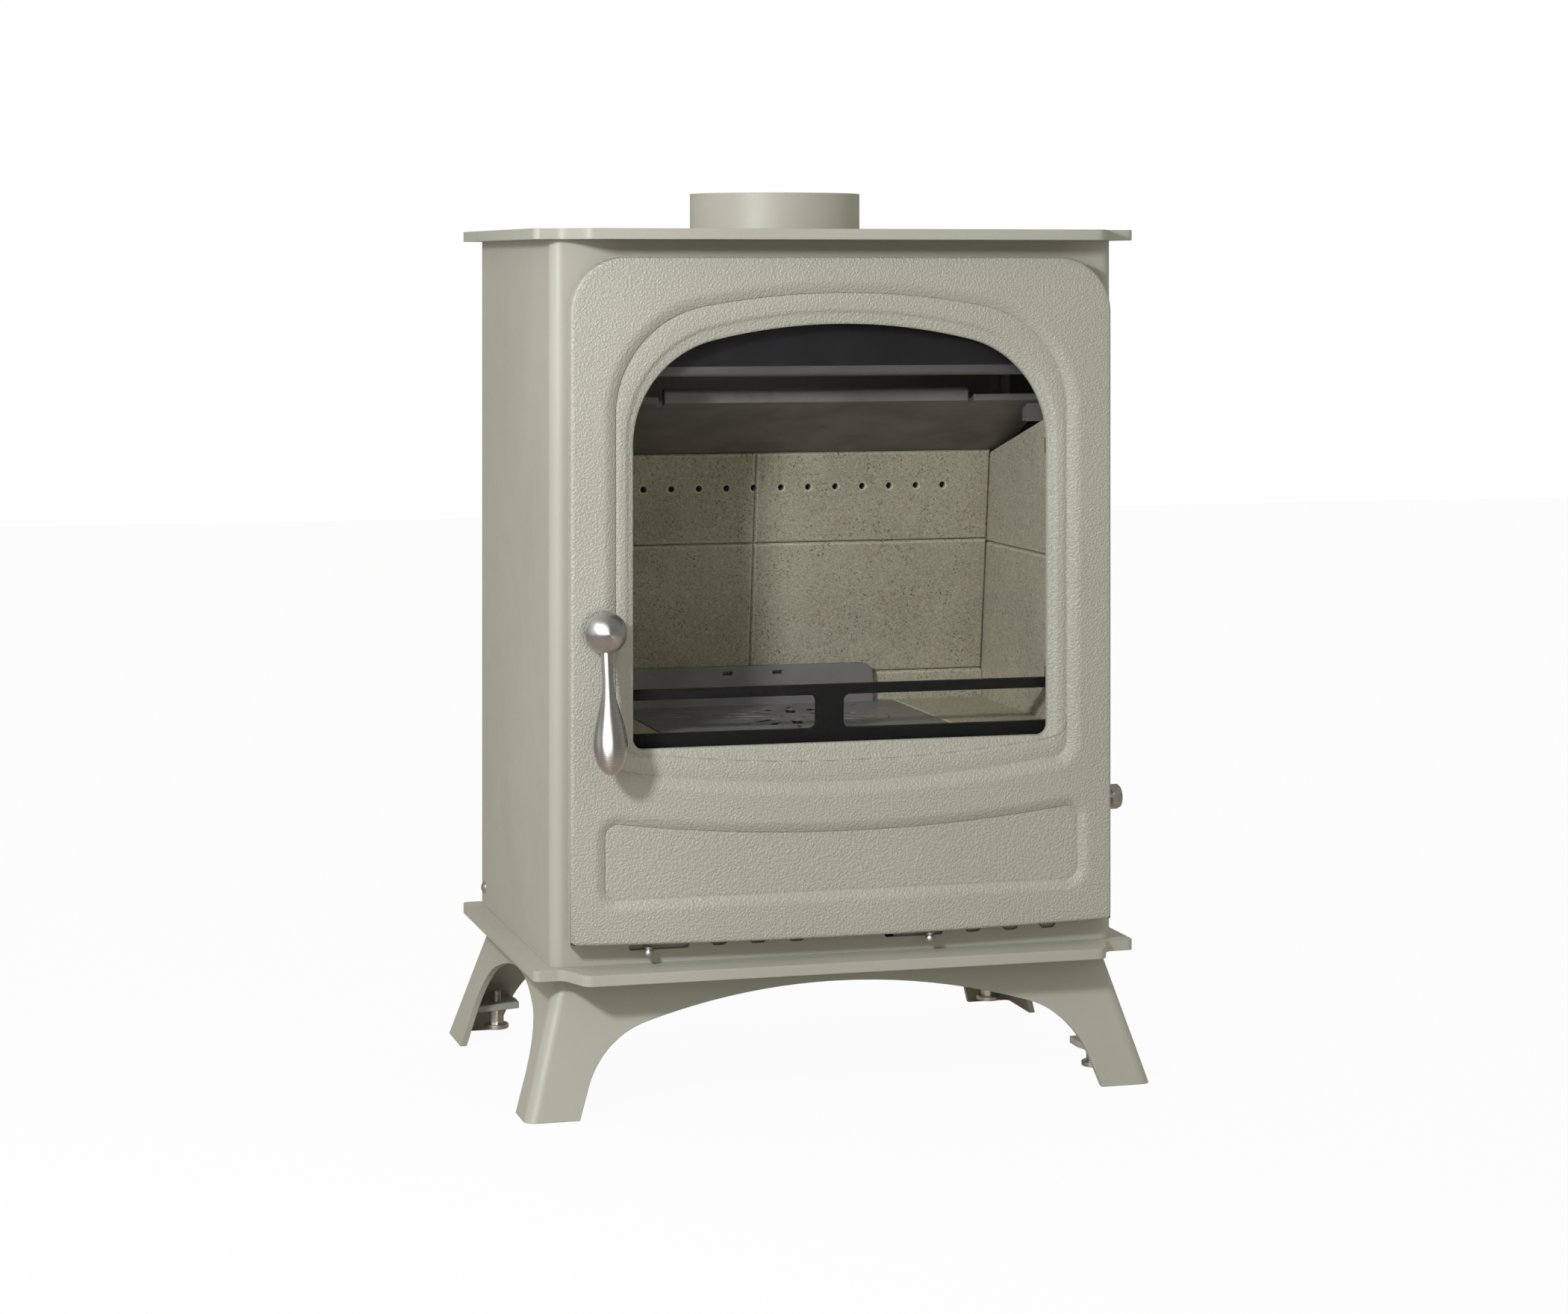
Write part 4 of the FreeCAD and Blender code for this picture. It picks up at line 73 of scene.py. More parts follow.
MM = 0.001
TURN = 2.0 * math.pi
QUARTER = math.pi / 2.0
CAD_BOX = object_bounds()
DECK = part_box("base_plate")[1].z / MM
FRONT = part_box("body_casing")[0].y / MM

# Levels, in metres, under which the airwash plate's hem takes a painted highlight, and the grate
# takes a painted shade in the disc's slots and below them.
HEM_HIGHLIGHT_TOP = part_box("airwash_plate")[0].z + 8.0 * MM
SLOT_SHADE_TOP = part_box("grate_disc")[1].z - 0.5 * MM

# The band in which most values of a noise lie.
MIDDLE = (0.3, 0.7)

# Middle of the handle's ball and of its dimple: across, and above the base plate.
HANDLE_X, HANDLE_Z = -185.0, 249.0

# Distance in millimetres under which points of a piece are joined.
MERGE = 0.01


class Body(Enum):
    """Moving bodies of the stove that pieces ride on."""

    DOOR = "door"
    HANDLE = "door_handle"
    PRIMARY = "primary_air_control"
    AIRWASH = "airwash_air_control"
    BAR = "riddling_bar"
    FRONT_LEFT = "foot_front_left"
    FRONT_RIGHT = "foot_front_right"
    REAR_LEFT = "foot_rear_left"
    REAR_RIGHT = "foot_rear_right"


class Axis(Enum):
    """Main directions that a turned piece can point along."""

    RIGHT = (1.0, 0.0, 0.0)
    BACKWARD = (0.0, 1.0, 0.0)
    FORWARD = (0.0, -1.0, 0.0)
    UP = (0.0, 0.0, 1.0)


def feed(tree: Tree, node: bpy.types.Node, values: dict[str | int, Value]) -> None:
    """Link sockets to a node's inputs, or set plain values on them."""
    for key, value in values.items():
        if isinstance(value, Socket):
            tree.links.new(value, node.inputs[key])
        else:
            node.inputs[key].default_value = value


def add(tree: Tree, kind: str, values: dict[str | int, Value],
        **settings: object) -> bpy.types.Node:
    """Add a shader node to a tree.

    Args:
        tree: the tree.
        kind: the node's type, less the prefix that all have.
        values: sockets or plain values for its inputs, by name or number.
        settings: its other properties.

    Returns:
        The node.
    """
    node = tree.nodes.new("ShaderNode" + kind)
    for key, value in settings.items():
        setattr(node, key, value)
    feed(tree, node, values)
    return node


def new_group(name: str, inputs: dict[str, float | tuple], outputs: dict[str, str]) -> tuple:
    """Start a shader node group with named sockets.

    Args:
        name: name of the group.
        inputs: default of each input; a number or a vector of three.
        outputs: socket type of each output.

    Returns:
        The group, its input node and its output node.
    """
    tree = bpy.data.node_groups.new(name, "ShaderNodeTree")
    for key, value in inputs.items():
        kind = "NodeSocketVector" if isinstance(value, tuple) else "NodeSocketFloat"
        socket = tree.interface.new_socket(name=key, in_out="INPUT", socket_type=kind)
        socket.default_value = value
    for key, kind in outputs.items():
        tree.interface.new_socket(name=key, in_out="OUTPUT", socket_type=kind)
    return tree, tree.nodes.new("NodeGroupInput"), tree.nodes.new("NodeGroupOutput")


def noise(tree: Tree, vector: Socket, scale: Value, detail: float, rough: float = 0.5,
          warp: float = 0.0) -> Socket:
    """A noise texture's factor, at a scale in waves per metre."""
    return add(tree, "TexNoise", {"Vector": vector, "Scale": scale, "Detail": detail,
                                  "Roughness": rough, "Distortion": warp}).outputs["Fac"]


def ramp(tree: Tree, source: Socket, low: float, high: float, to_low: float = 0.0,
         to_high: float = 1.0) -> Socket:
    """Stretch a value between two levels to a new range, smoothly and clamped."""
    values = {"Value": source, "From Min": low, "From Max": high, "To Min": to_low,
              "To Max": to_high}
    return add(tree, "MapRange", values, interpolation_type="SMOOTHSTEP").outputs["Result"]


def sums(tree: Tree, kind: str, first: Value, second: Value) -> Socket:
    """One math node; an argument is a socket or a number."""
    return add(tree, "Math", {0: first, 1: second}, operation=kind).outputs[0]


def mix(tree: Tree, share: Value, first: Value, second: Value) -> Socket:
    """Mix two colours; each argument is a socket or a plain value."""
    first, second = ((*value, 1.0) if isinstance(value, tuple) else value
                     for value in (first, second))
    return add(tree, "Mix", {0: share, 6: first, 7: second}, data_type="RGBA").outputs[2]


def shaded(colour: Triple, factor: float, lift: float = 0.0) -> Triple:
    """A colour times a factor, plus a lift, no part past full."""
    return tuple(min(1.0, part * factor + lift) for part in colour)


def grain_group() -> Tree:
    """Powdery or cast grain: a height of rounded lumps and a slow drift of shade.

    The height is the noise of the lumps plus a share of finer noise; the drift is slow noise.
    """
    tree, take, give = new_group(
        "surface_grain",
        {"Vector": (0.0, 0.0, 0.0), "Lumps": 450.0, "Fine": 1600.0, "Drift": 6.0,
         "Fine Share": 0.3},
        {"Height": "NodeSocketFloat", "Drift": "NodeSocketFloat"},
    )
    asked = take.outputs
    lumps, fine, drift = (noise(tree, asked["Vector"], asked[key], detail)
                          for key, detail in (("Lumps", 1.5), ("Fine", 1.0), ("Drift", 2.0)))
    height = sums(tree, "ADD", ramp(tree, lumps, 0.25, 0.8),
                  sums(tree, "MULTIPLY", fine, asked["Fine Share"]))
    feed(tree, give, {"Height": height, "Drift": ramp(tree, drift, *MIDDLE)})
    return tree


def edge_group() -> Tree:
    """Softened edges: the rounded normal, and a mask that is 1 where it leaves the true one."""
    tree, take, give = new_group(
        "soft_edges", {"Radius": 0.0008},
        {"Normal": "NodeSocketVector", "Edge": "NodeSocketFloat"},
    )
    bevel = add(tree, "Bevel", {"Radius": take.outputs["Radius"]}, samples=6).outputs["Normal"]
    true = add(tree, "NewGeometry", {}).outputs["Normal"]
    dot = add(tree, "VectorMath", {0: bevel, 1: true}, operation="DOT_PRODUCT").outputs["Value"]
    feed(tree, give, {"Edge": ramp(tree, dot, 0.99, 0.85), "Normal": bevel})
    return tree


def ring_group() -> Tree:
    """Lathe rings about the local Y axis: a height and a streak mask.

    Both are a noise of one dimension, whose place is the distance from the axis times Across
    plus the distance along it times Along.
    """
    tree, take, give = new_group(
        "lathe_rings", {"Vector": (0.0, 0.0, 0.0), "Across": 2500.0, "Along": 900.0},
        {"Height": "NodeSocketFloat", "Streak": "NodeSocketFloat"},
    )
    split = add(tree, "SeparateXYZ", {0: take.outputs["Vector"]}).outputs
    flat = sums(tree, "ADD", sums(tree, "MULTIPLY", split["X"], split["X"]),
                sums(tree, "MULTIPLY", split["Z"], split["Z"]))
    radius = sums(tree, "SQRT", flat, 0.0)
    reach = sums(tree, "ADD", sums(tree, "MULTIPLY", radius, take.outputs["Across"]),
                 sums(tree, "MULTIPLY", split["Y"], take.outputs["Along"]))
    line = add(tree, "TexNoise", {"W": reach, "Scale": 1.0, "Detail": 2.0},
               noise_dimensions="1D").outputs["Fac"]
    feed(tree, give, {"Height": line, "Streak": ramp(tree, line, *MIDDLE)})
    return tree


GROUPS = {"grain": grain_group(), "edges": edge_group(), "rings": ring_group()}


def place_group(tree: Tree, key: str, values: dict[str, Value]) -> Sockets:
    """Put a shared group in a material with its own values, and give its outputs."""
    return add(tree, "Group", values, node_tree=GROUPS[key]).outputs


def start(name: str) -> tuple:
    """A new material with its tree, its shader and its Object coordinates."""
    material = bpy.data.materials.new(name)
    material.use_nodes = True
    tree = material.node_tree
    return (material, tree, tree.nodes["Principled BSDF"],
            add(tree, "TexCoord", {}).outputs["Object"])


def bump(tree: Tree, shader: bpy.types.Node, height: Socket, depth: float,
         normal: Socket | None = None) -> None:
    """Feed a height, in metres when full, through a Bump node into the shader."""
    values = {"Strength": 1.0, "Distance": depth, "Height": height}
    if normal is not None:
        values["Normal"] = normal
    feed(tree, shader, {"Normal": add(tree, "Bump", values).outputs["Normal"]})


def light_paths(tree: Tree) -> tuple[Socket, Socket]:
    """Masks for the floor and the backdrop.

    Returns:
        The mask of rays that the eye sees, also straight through glass, and that of mirrored ones.
    """
    path = add(tree, "LightPath", {}).outputs
    bounces = sums(tree, "ADD", path["Glossy Depth"], path["Diffuse Depth"])
    through = sums(tree, "MULTIPLY", path["Is Transmission Ray"],
                   sums(tree, "LESS_THAN", bounces, 0.5))
    seen = sums(tree, "MAXIMUM", path["Is Camera Ray"], through)
    mirrored = sums(tree, "MULTIPLY", path["Is Glossy Ray"], sums(tree, "SUBTRACT", 1.0, seen))
    return seen, mirrored


def layer(tree: Tree, share: Value, below: Socket, above: Socket) -> Socket:
    """Lay a share of one shader over another."""
    return add(tree, "MixShader", {"Fac": share, 1: below, 2: above}).outputs["Shader"]


@dataclass(frozen=True)
class Paint:
    """Stoving paint with a powdery grain over sheet steel or a casting."""

    name: str
    colour: Triple
    shade: Triple
    lumps: float
    depth: float
    roughness: float
    edge: float
    edge_sheen: float = 0.12
    specular: float = 0.4
    fine: float = 3.5
    fine_share: float = 0.3
    drift: float = 5.0
    cloud: float = 40.0
    paler: float = 1.25
    gloss: tuple[float, float] = (-0.05, 0.06)

    def build(self) -> bpy.types.Material:
        """Make the material: drifting colour, edges made paler as a painted highlight, grain bump
        and uneven gloss.
        """
        material, tree, shader, place = start(self.name)
        grain = place_group(tree, "grain", {
            "Vector": place, "Lumps": self.lumps, "Fine": self.lumps * self.fine,
            "Drift": self.drift, "Fine Share": self.fine_share})
        edges = place_group(tree, "edges", {"Radius": self.edge})
        base = mix(tree, grain["Drift"], self.shade, self.colour)
        # Painted highlight: the edges are mixed towards a paler colour where the rounded normal
        # leaves the true one.
        edge_sheen_share = sums(tree, "MULTIPLY", edges["Edge"], self.edge_sheen)
        dull, bright = (self.roughness + part for part in self.gloss)
        feed(tree, shader, {
            "Base Color": mix(tree, edge_sheen_share, base, shaded(self.colour, self.paler)),
            "Roughness": ramp(tree, noise(tree, place, self.cloud, 3.0), *MIDDLE, dull, bright),
            "Specular IOR Level": self.specular})
        bump(tree, shader, grain["Height"], self.depth, edges["Normal"])
        return material


@dataclass(frozen=True)
class Turned:
    """Bare steel turned on a lathe, with rings about an axis through a centre."""

    name: str
    colour: Triple
    centre: Triple
    turn: Triple
    roughness: float
    depth: float
    across: float
    along: float
    drawn: float = 0.75
    drawn_turn: float = 0.25
    darker: float = 0.8
    cloud: float = 60.0
    smear: float = 0.12
    streak: float = 0.08

    def brush(self, tree: Tree, shader: bpy.types.Node, local: Socket) -> None:
        """Draw the gloss out across the rings: the tangent is the local place crossed with Y."""
        across = add(tree, "VectorMath", {0: local, 1: Axis.BACKWARD.value},
                     operation="CROSS_PRODUCT").outputs["Vector"]
        turned = add(tree, "VectorRotate", {"Vector": across, "Rotation": self.turn},
                     rotation_type="EULER_XYZ").outputs["Vector"]
        unit = add(tree, "VectorMath", {0: turned}, operation="NORMALIZE").outputs["Vector"]
        feed(tree, shader, {"Tangent": unit, "Anisotropic": self.drawn,
                            "Anisotropic Rotation": self.drawn_turn})

    def build(self) -> bpy.types.Material:
        """Make the material: metal whose gloss and height follow the lathe rings."""
        material, tree, shader, place = start(self.name)
        local = add(tree, "Mapping", {"Vector": place, "Location": self.centre,
                                      "Rotation": self.turn}, vector_type="TEXTURE").outputs[0]
        rings = place_group(tree, "rings", {"Vector": local, "Across": self.across,
                                            "Along": self.along})
        self.brush(tree, shader, local)
        smear = sums(tree, "MULTIPLY", noise(tree, place, self.cloud, 3.0), self.smear)
        gloss = sums(tree, "ADD", sums(tree, "MULTIPLY", rings["Streak"], self.streak),
                     sums(tree, "ADD", smear, self.roughness - self.streak))
        tone = mix(tree, rings["Streak"], shaded(self.colour, self.darker), self.colour)
        feed(tree, shader, {"Base Color": tone, "Roughness": gloss, "Metallic": 1.0})
        bump(tree, shader, rings["Height"], self.depth)
        return material


@dataclass(frozen=True)
class Sheet:
    """Rolled bare or blued steel with a faint grain and smudges.

    Below a given level it takes a band colour: a painted highlight along the airwash plate's
    rolled hem, and a painted shade in and under the grate's slots. A level of zero leaves the band
    out.
    """

    name: str
    colour: Triple
    smudge: Triple
    roughness: float
    metallic: float
    depth: float = 0.00003
    edge: float = 0.0006
    stretch: Triple = (12.0, 400.0, 400.0)
    painted_band_top: float = 0.0
    painted_band: Triple = (0.15, 0.15, 0.148)
    painted_band_soft: float = 0.0006
    edge_sheen: float = 0.4
    paler: tuple[float, float] = (1.5, 0.02)
    streak: float = 0.12
    cloud: float = 0.1

    def build(self) -> bpy.types.Material:
        """Make the material: noise drawn out along the rolling direction, cloudy smudges and edges
        made paler as a painted highlight.
        """
        material, tree, shader, place = start(self.name)
        along = add(tree, "Mapping", {"Vector": place, "Scale": self.stretch}).outputs["Vector"]
        rolled = noise(tree, along, 1.0, 3.0)
        cloud = ramp(tree, noise(tree, place, 14.0, 5.0, 0.6, 0.4), 0.35, 0.7)
        edges = place_group(tree, "edges", {"Radius": self.edge})
        # Painted highlight: the edges are mixed towards a paler colour.
        edge_sheen_share = sums(tree, "MULTIPLY", edges["Edge"], self.edge_sheen)
        tone = mix(tree, edge_sheen_share, mix(tree, cloud, self.colour, self.smudge),
                   shaded(self.colour, *self.paler))
        # Painted light on a low band: a highlight on a hem, shade in slots.
        if self.painted_band_top:
            level = add(tree, "SeparateXYZ", {0: place}).outputs["Z"]
            below = ramp(tree, level, self.painted_band_top, self.painted_band_top - self.painted_band_soft)
            tone = mix(tree, below, tone, self.painted_band)
        gloss = sums(tree, "ADD", sums(tree, "MULTIPLY", rolled, self.streak),
                     sums(tree, "ADD", sums(tree, "MULTIPLY", cloud, self.cloud),
                          self.roughness - self.cloud))
        feed(tree, shader, {"Base Color": tone, "Roughness": gloss, "Metallic": self.metallic})
        bump(tree, shader, rolled, self.depth, edges["Normal"])
        return material


@dataclass(frozen=True)
class PressedBoard:
    """Fire board pressed from flakes: pale ground with dark and rusty specks and chalky edges."""

    name: str
    colour: Triple
    ground: Triple
    flake: float = 1000.0
    fine: float = 2.3
    light: float = 1.35
    chalk: float = 1.9
    dark: float = 0.24
    rust: Triple = (0.8, 0.5, 0.3)
    edge: float = 0.003
    depth: float = 0.00014

    def flakes(self, tree: Tree, place: Socket, scale: float) -> Sockets:
        """Three random values for each cell of a field of flakes."""
        cells = add(tree, "TexVoronoi", {"Vector": place, "Scale": scale})
        return add(tree, "SeparateColor", {"Color": cells.outputs["Color"]}).outputs

    def build(self) -> bpy.types.Material:
        """Make the material: two sizes of cell flakes in mixed tones, pits and crumbly bump."""
        material, tree, shader, place = start(self.name)
        flake = self.flakes(tree, place, self.flake)
        fine = self.flakes(tree, place, self.flake * self.fine)
        edges = place_group(tree, "edges", {"Radius": self.edge})
        dark = shaded(self.ground, self.dark)
        rust = tuple(part * share for part, share in zip(self.colour, self.rust))
        crowd = ramp(tree, noise(tree, place, 55.0, 2.0), 0.35, 0.65, 0.35, 1.0)
        specks = sums(tree, "MULTIPLY", ramp(tree, flake["Blue"], 0.9, 0.95, 0.0, 0.75), crowd)
        tone = mix(tree, ramp(tree, noise(tree, place, 9.0, 4.0), *MIDDLE), self.ground,
                   self.colour)
        for share, colour in (
                (edges["Edge"], shaded(self.colour, self.chalk)),
                (ramp(tree, flake["Red"], 0.7, 0.95, 0.0, 0.5), shaded(self.colour, self.light)),
                (ramp(tree, flake["Green"], 0.9, 0.96, 0.0, 0.5), rust),
                (specks, dark),
                (ramp(tree, fine["Red"], 0.86, 0.94, 0.0, 0.6), dark)):
            tone = mix(tree, share, tone, colour)
        feed(tree, shader, {"Base Color": tone, "Roughness": 0.9, "Specular IOR Level": 0.25})
        rough = sums(tree, "ADD", sums(tree, "MULTIPLY", flake["Red"], 0.5),
                     noise(tree, place, 260.0, 4.0, 0.65))
        bump(tree, shader, rough, self.depth, edges["Normal"])
        return material


@dataclass(frozen=True)
class Rope:
    """Knitted glass rope or tape: a twill of strands from two crossed waves in object space."""

    name: str
    colour: Triple
    stitches: float = 1.0
    waves: float = 260.0
    lean: float = 0.7
    darker: float = 0.55
    depth: float = 0.0005

    def build(self) -> bpy.types.Material:
        """Make the material: the strands' height, and their tone with a painted shade between
        them, roughened by a fuzz of noise.
        """
        material, tree, shader, place = start(self.name)
        waves = []
        for turn in (self.lean, -self.lean):
            leant = add(tree, "Mapping", {"Vector": place, "Rotation": (turn, turn, turn)})
            waves.append(add(tree, "TexWave", {
                "Vector": leant.outputs["Vector"], "Scale": self.waves * self.stitches,
                "Distortion": 1.5}).outputs["Fac"])
        knit = sums(tree, "MAXIMUM", *waves)
        fuzz = noise(tree, place, 900.0, 3.0, 0.7)
        # Painted shade: the tone darkens where the crossed waves and the fuzz are low, between the
        # strands.
        shade = ramp(tree, sums(tree, "MULTIPLY", knit, fuzz), 0.1, 0.5)
        feed(tree, shader, {"Base Color": mix(tree, shade, shaded(self.colour, self.darker),
                                              self.colour), "Roughness": 0.95})
        bump(tree, shader, sums(tree, "ADD", knit, sums(tree, "MULTIPLY", fuzz, 0.4)), self.depth)
        return material


@dataclass(frozen=True)
class ClearGlass:
    """Ceramic stove glass: clear, faintly smoky, with a few dried wipe marks in its gloss."""

    name: str
    tint: Triple = (0.95, 0.95, 0.94)
    bend: float = 1.08
    wiped: float = 0.02

    def build(self) -> bpy.types.Material:
        """Make the material; shadow and diffuse rays pass straight through, dimmed by the tint."""
        material, tree, shader, place = start(self.name)
        marks = noise(tree, place, 7.0, 4.0, 0.6, 1.2)
        feed(tree, shader, {"Base Color": (*self.tint, 1.0), "Transmission Weight": 1.0,
                            "IOR": self.bend,
                            "Roughness": ramp(tree, marks, 0.45, 0.75, 0.0, self.wiped)})
        path = add(tree, "LightPath", {}).outputs
        through = add(tree, "BsdfTransparent", {"Color": (*self.tint, 1.0)}).outputs["BSDF"]
        share = sums(tree, "MAXIMUM", path["Is Shadow Ray"], path["Is Diffuse Ray"])
        feed(tree, tree.nodes["Material Output"],
             {"Surface": layer(tree, share, shader.outputs["BSDF"], through)})
        return material


SAGE = (0.405, 0.4, 0.335)
SAGE_SHADE = (0.382, 0.376, 0.312)
STEEL = (0.72, 0.71, 0.7)


class Finish(Enum):
    """The finishes of the stove; each is built once, when it is first used."""

    CASING = Paint("casing_paint", SAGE, SAGE_SHADE, 1500.0, 0.00004, 0.44, 0.0009)
    CAST = Paint("cast_door_paint", SAGE, SAGE_SHADE, 620.0, 0.00048, 0.36, 0.0008,
                 specular=0.5)
    BLACK = Paint("guard_black", (0.008, 0.008, 0.0085), (0.006, 0.006, 0.006), 1300.0,
                  0.00006, 0.55, 0.0008, edge_sheen=0.2, specular=0.2)
    # Painted shade: near black below the disc's top, in the slots and under them.
    GRATE = Sheet("cast_grate", (0.22, 0.218, 0.212), (0.165, 0.162, 0.154), 0.48, 0.2,
                  painted_band_top=SLOT_SHADE_TOP, painted_band=(0.012, 0.012, 0.012))
    BAFFLE = Sheet("baffle_steel", (0.19, 0.187, 0.17), (0.14, 0.137, 0.122), 0.55, 0.3)
    # Painted highlight: a paler band along the rolled hem at the bottom.
    BLUED = Sheet("blued_steel", (0.034, 0.032, 0.037), (0.022, 0.021, 0.024), 0.36, 0.6,
                  painted_band_top=HEM_HIGHLIGHT_TOP)
    MILD = Sheet("mild_steel", (0.2, 0.2, 0.195), (0.14, 0.138, 0.13), 0.5, 0.8)
    ZINC = Sheet("zinc_plate", (0.62, 0.62, 0.6), (0.5, 0.5, 0.47), 0.38, 1.0,
                 depth=0.00002, edge=0.0003, stretch=(300.0, 300.0, 300.0))
    PAN = Sheet("ash_pan_steel", (0.3, 0.3, 0.3), (0.24, 0.24, 0.235), 0.42, 0.85)
    BRICK = PressedBoard("fire_board", (0.455, 0.43, 0.335), (0.36, 0.34, 0.262))
    ROPE = Rope("door_rope_knit", (0.72, 0.7, 0.63))
    TAPE = Rope("glass_tape_weave", (0.6, 0.58, 0.52), 1.6)
    GLASS = ClearGlass("door_glass_clear")

    @property
    def material(self) -> bpy.types.Material:
        """The Blender material of this finish."""
        return bpy.data.materials.get(self.value.name) or self.value.build()


def arc(first: Corner, last: Corner, radius: float, turn: int, step: float) -> np.ndarray:
    """Points of the short arc from first to last, without its last point.

    The centre lies on the chord's bisector, at the root of radius squared less half the chord
    squared, to the left of travel for an anticlockwise turn.

    Args:
        first: start point.
        last: end point.
        radius: radius of the arc.
        turn: 1 for anticlockwise, -1 for clockwise.
        step: wanted spacing of the points.
    """
    first, last = np.asarray(first, float), np.asarray(last, float)
    chord = last - first
    length = np.hypot(*chord)
    rise = math.sqrt(max(radius * radius - length * length / 4.0, 0.0))
    centre = (first + last) / 2.0 + turn * rise * np.array([-chord[1], chord[0]]) / length
    begin = math.atan2(*(first - centre)[::-1])
    sweep = turn * 2.0 * math.asin(min(length / 2.0 / radius, 1.0))
    count = max(3, int(abs(sweep) * radius / step))
    angle = begin + sweep * np.arange(count) / count
    return centre + radius * np.column_stack([np.cos(angle), np.sin(angle)])


def trace(corners: Sequence[Corner], step: float = 0.25) -> np.ndarray:
    """Closed outline through corners; a corner of four numbers is reached by an arc.

    Args:
        corners: (x, z) for a straight run, (x, z, radius, turn) for an arc that ends there.
        step: spacing of the points.
    """
    runs = []
    for before, corner in zip([corners[-1], *corners[:-1]], corners):
        if len(corner) == 4:
            runs.append(arc(before[:2], corner[:2], corner[2], int(corner[3]), step))
        else:
            first, last = np.asarray(before[:2], float), np.asarray(corner, float)
            count = max(1, int(np.hypot(*(last - first)) / step))
            runs.append(first + (last - first) * (np.arange(count) / count)[:, None])
    return np.vstack(runs)


def bowed(half: float, sag: float) -> float:
    """Radius of an arc that rises by a sag over half its chord."""
    return (half * half + sag * sag) / (2 * sag)


def low_corners(left: float, right: float, low: float, radius: float,
                bend: Corner = ()) -> list[Corner]:
    """Rounded bottom of an outline from left to right; a bend is a radius and a turn."""
    return [(left, low + radius), (left + radius, low, radius, 1),
            (right - radius, low, *bend), (right, low + radius, radius, 1)]


def high_corners(left: float, right: float, high: float, radius: float,
                 bend: Corner = ()) -> list[Corner]:
    """Rounded top of an outline from right to left; a bend is a radius and a turn."""
    return [(right, high - radius), (right - radius, high, radius, 1),
            (left + radius, high, *bend), (left, high - radius, radius, 1)]


def split_sides(loop: np.ndarray, centre: Corner, towards: np.ndarray,
                counts: Sequence[int]) -> np.ndarray:
    """Resample a closed loop in sides that begin at rays from a centre.

    Each side runs from one ray to the next and gets evenly spaced points by arc length.

    Args:
        loop: dense anticlockwise loop round the centre.
        centre: middle that the rays leave from.
        towards: one point on each ray, anticlockwise.
        counts: points of each side.
    """
    angles = np.arctan2(loop[:, 1] - centre[1], loop[:, 0] - centre[0])
    rays = np.arctan2(towards[:, 1] - centre[1], towards[:, 0] - centre[0])
    gaps = np.abs((angles[None, :] - rays[:, None] + math.pi) % TURN - math.pi)
    starts = np.argmin(gaps, axis=1)
    sides = []
    for index, count in enumerate(counts):
        first, last = starts[index], starts[(index + 1) % len(counts)]
        run = np.arange(first, last + 1 if last > first else last + 1 + len(loop)) % len(loop)
        points = loop[run]
        reach = np.r_[0.0, np.cumsum(np.hypot(*np.diff(points, axis=0).T))]
        wanted = np.linspace(0.0, reach[-1], count + 1)[:-1]
        sides.append(np.column_stack([np.interp(wanted, reach, row) for row in points.T]))
    return np.vstack(sides)


def outward(loop: np.ndarray) -> np.ndarray:
    """Outward unit normals of an anticlockwise closed loop, from its neighbours' chord."""
    run = np.roll(loop, -1, axis=0) - np.roll(loop, 1, axis=0)
    normal = np.column_stack([run[:, 1], -run[:, 0]])
    return normal / np.hypot(*normal.T)[:, None]


def smooth(share: np.ndarray) -> np.ndarray:
    """Smooth step of a share from 0 to 1: three squares less two cubes."""
    share = np.clip(share, 0.0, 1.0)
    return share * share * (3.0 - 2.0 * share)


def hexagon_share(count: int, turn: float = 0.0) -> np.ndarray:
    """Radius of a hexagon over half its width across flats, at evenly spaced angles."""
    angle = (np.arange(count) / count * TURN + turn) % (TURN / 6.0) - TURN / 12.0
    return 1.0 / np.cos(angle)


def node_box(node: str) -> tuple[Vector, Vector]:
    """Low and high corner of a CAD node in millimetres."""
    low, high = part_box(node)
    return low / MM, high / MM


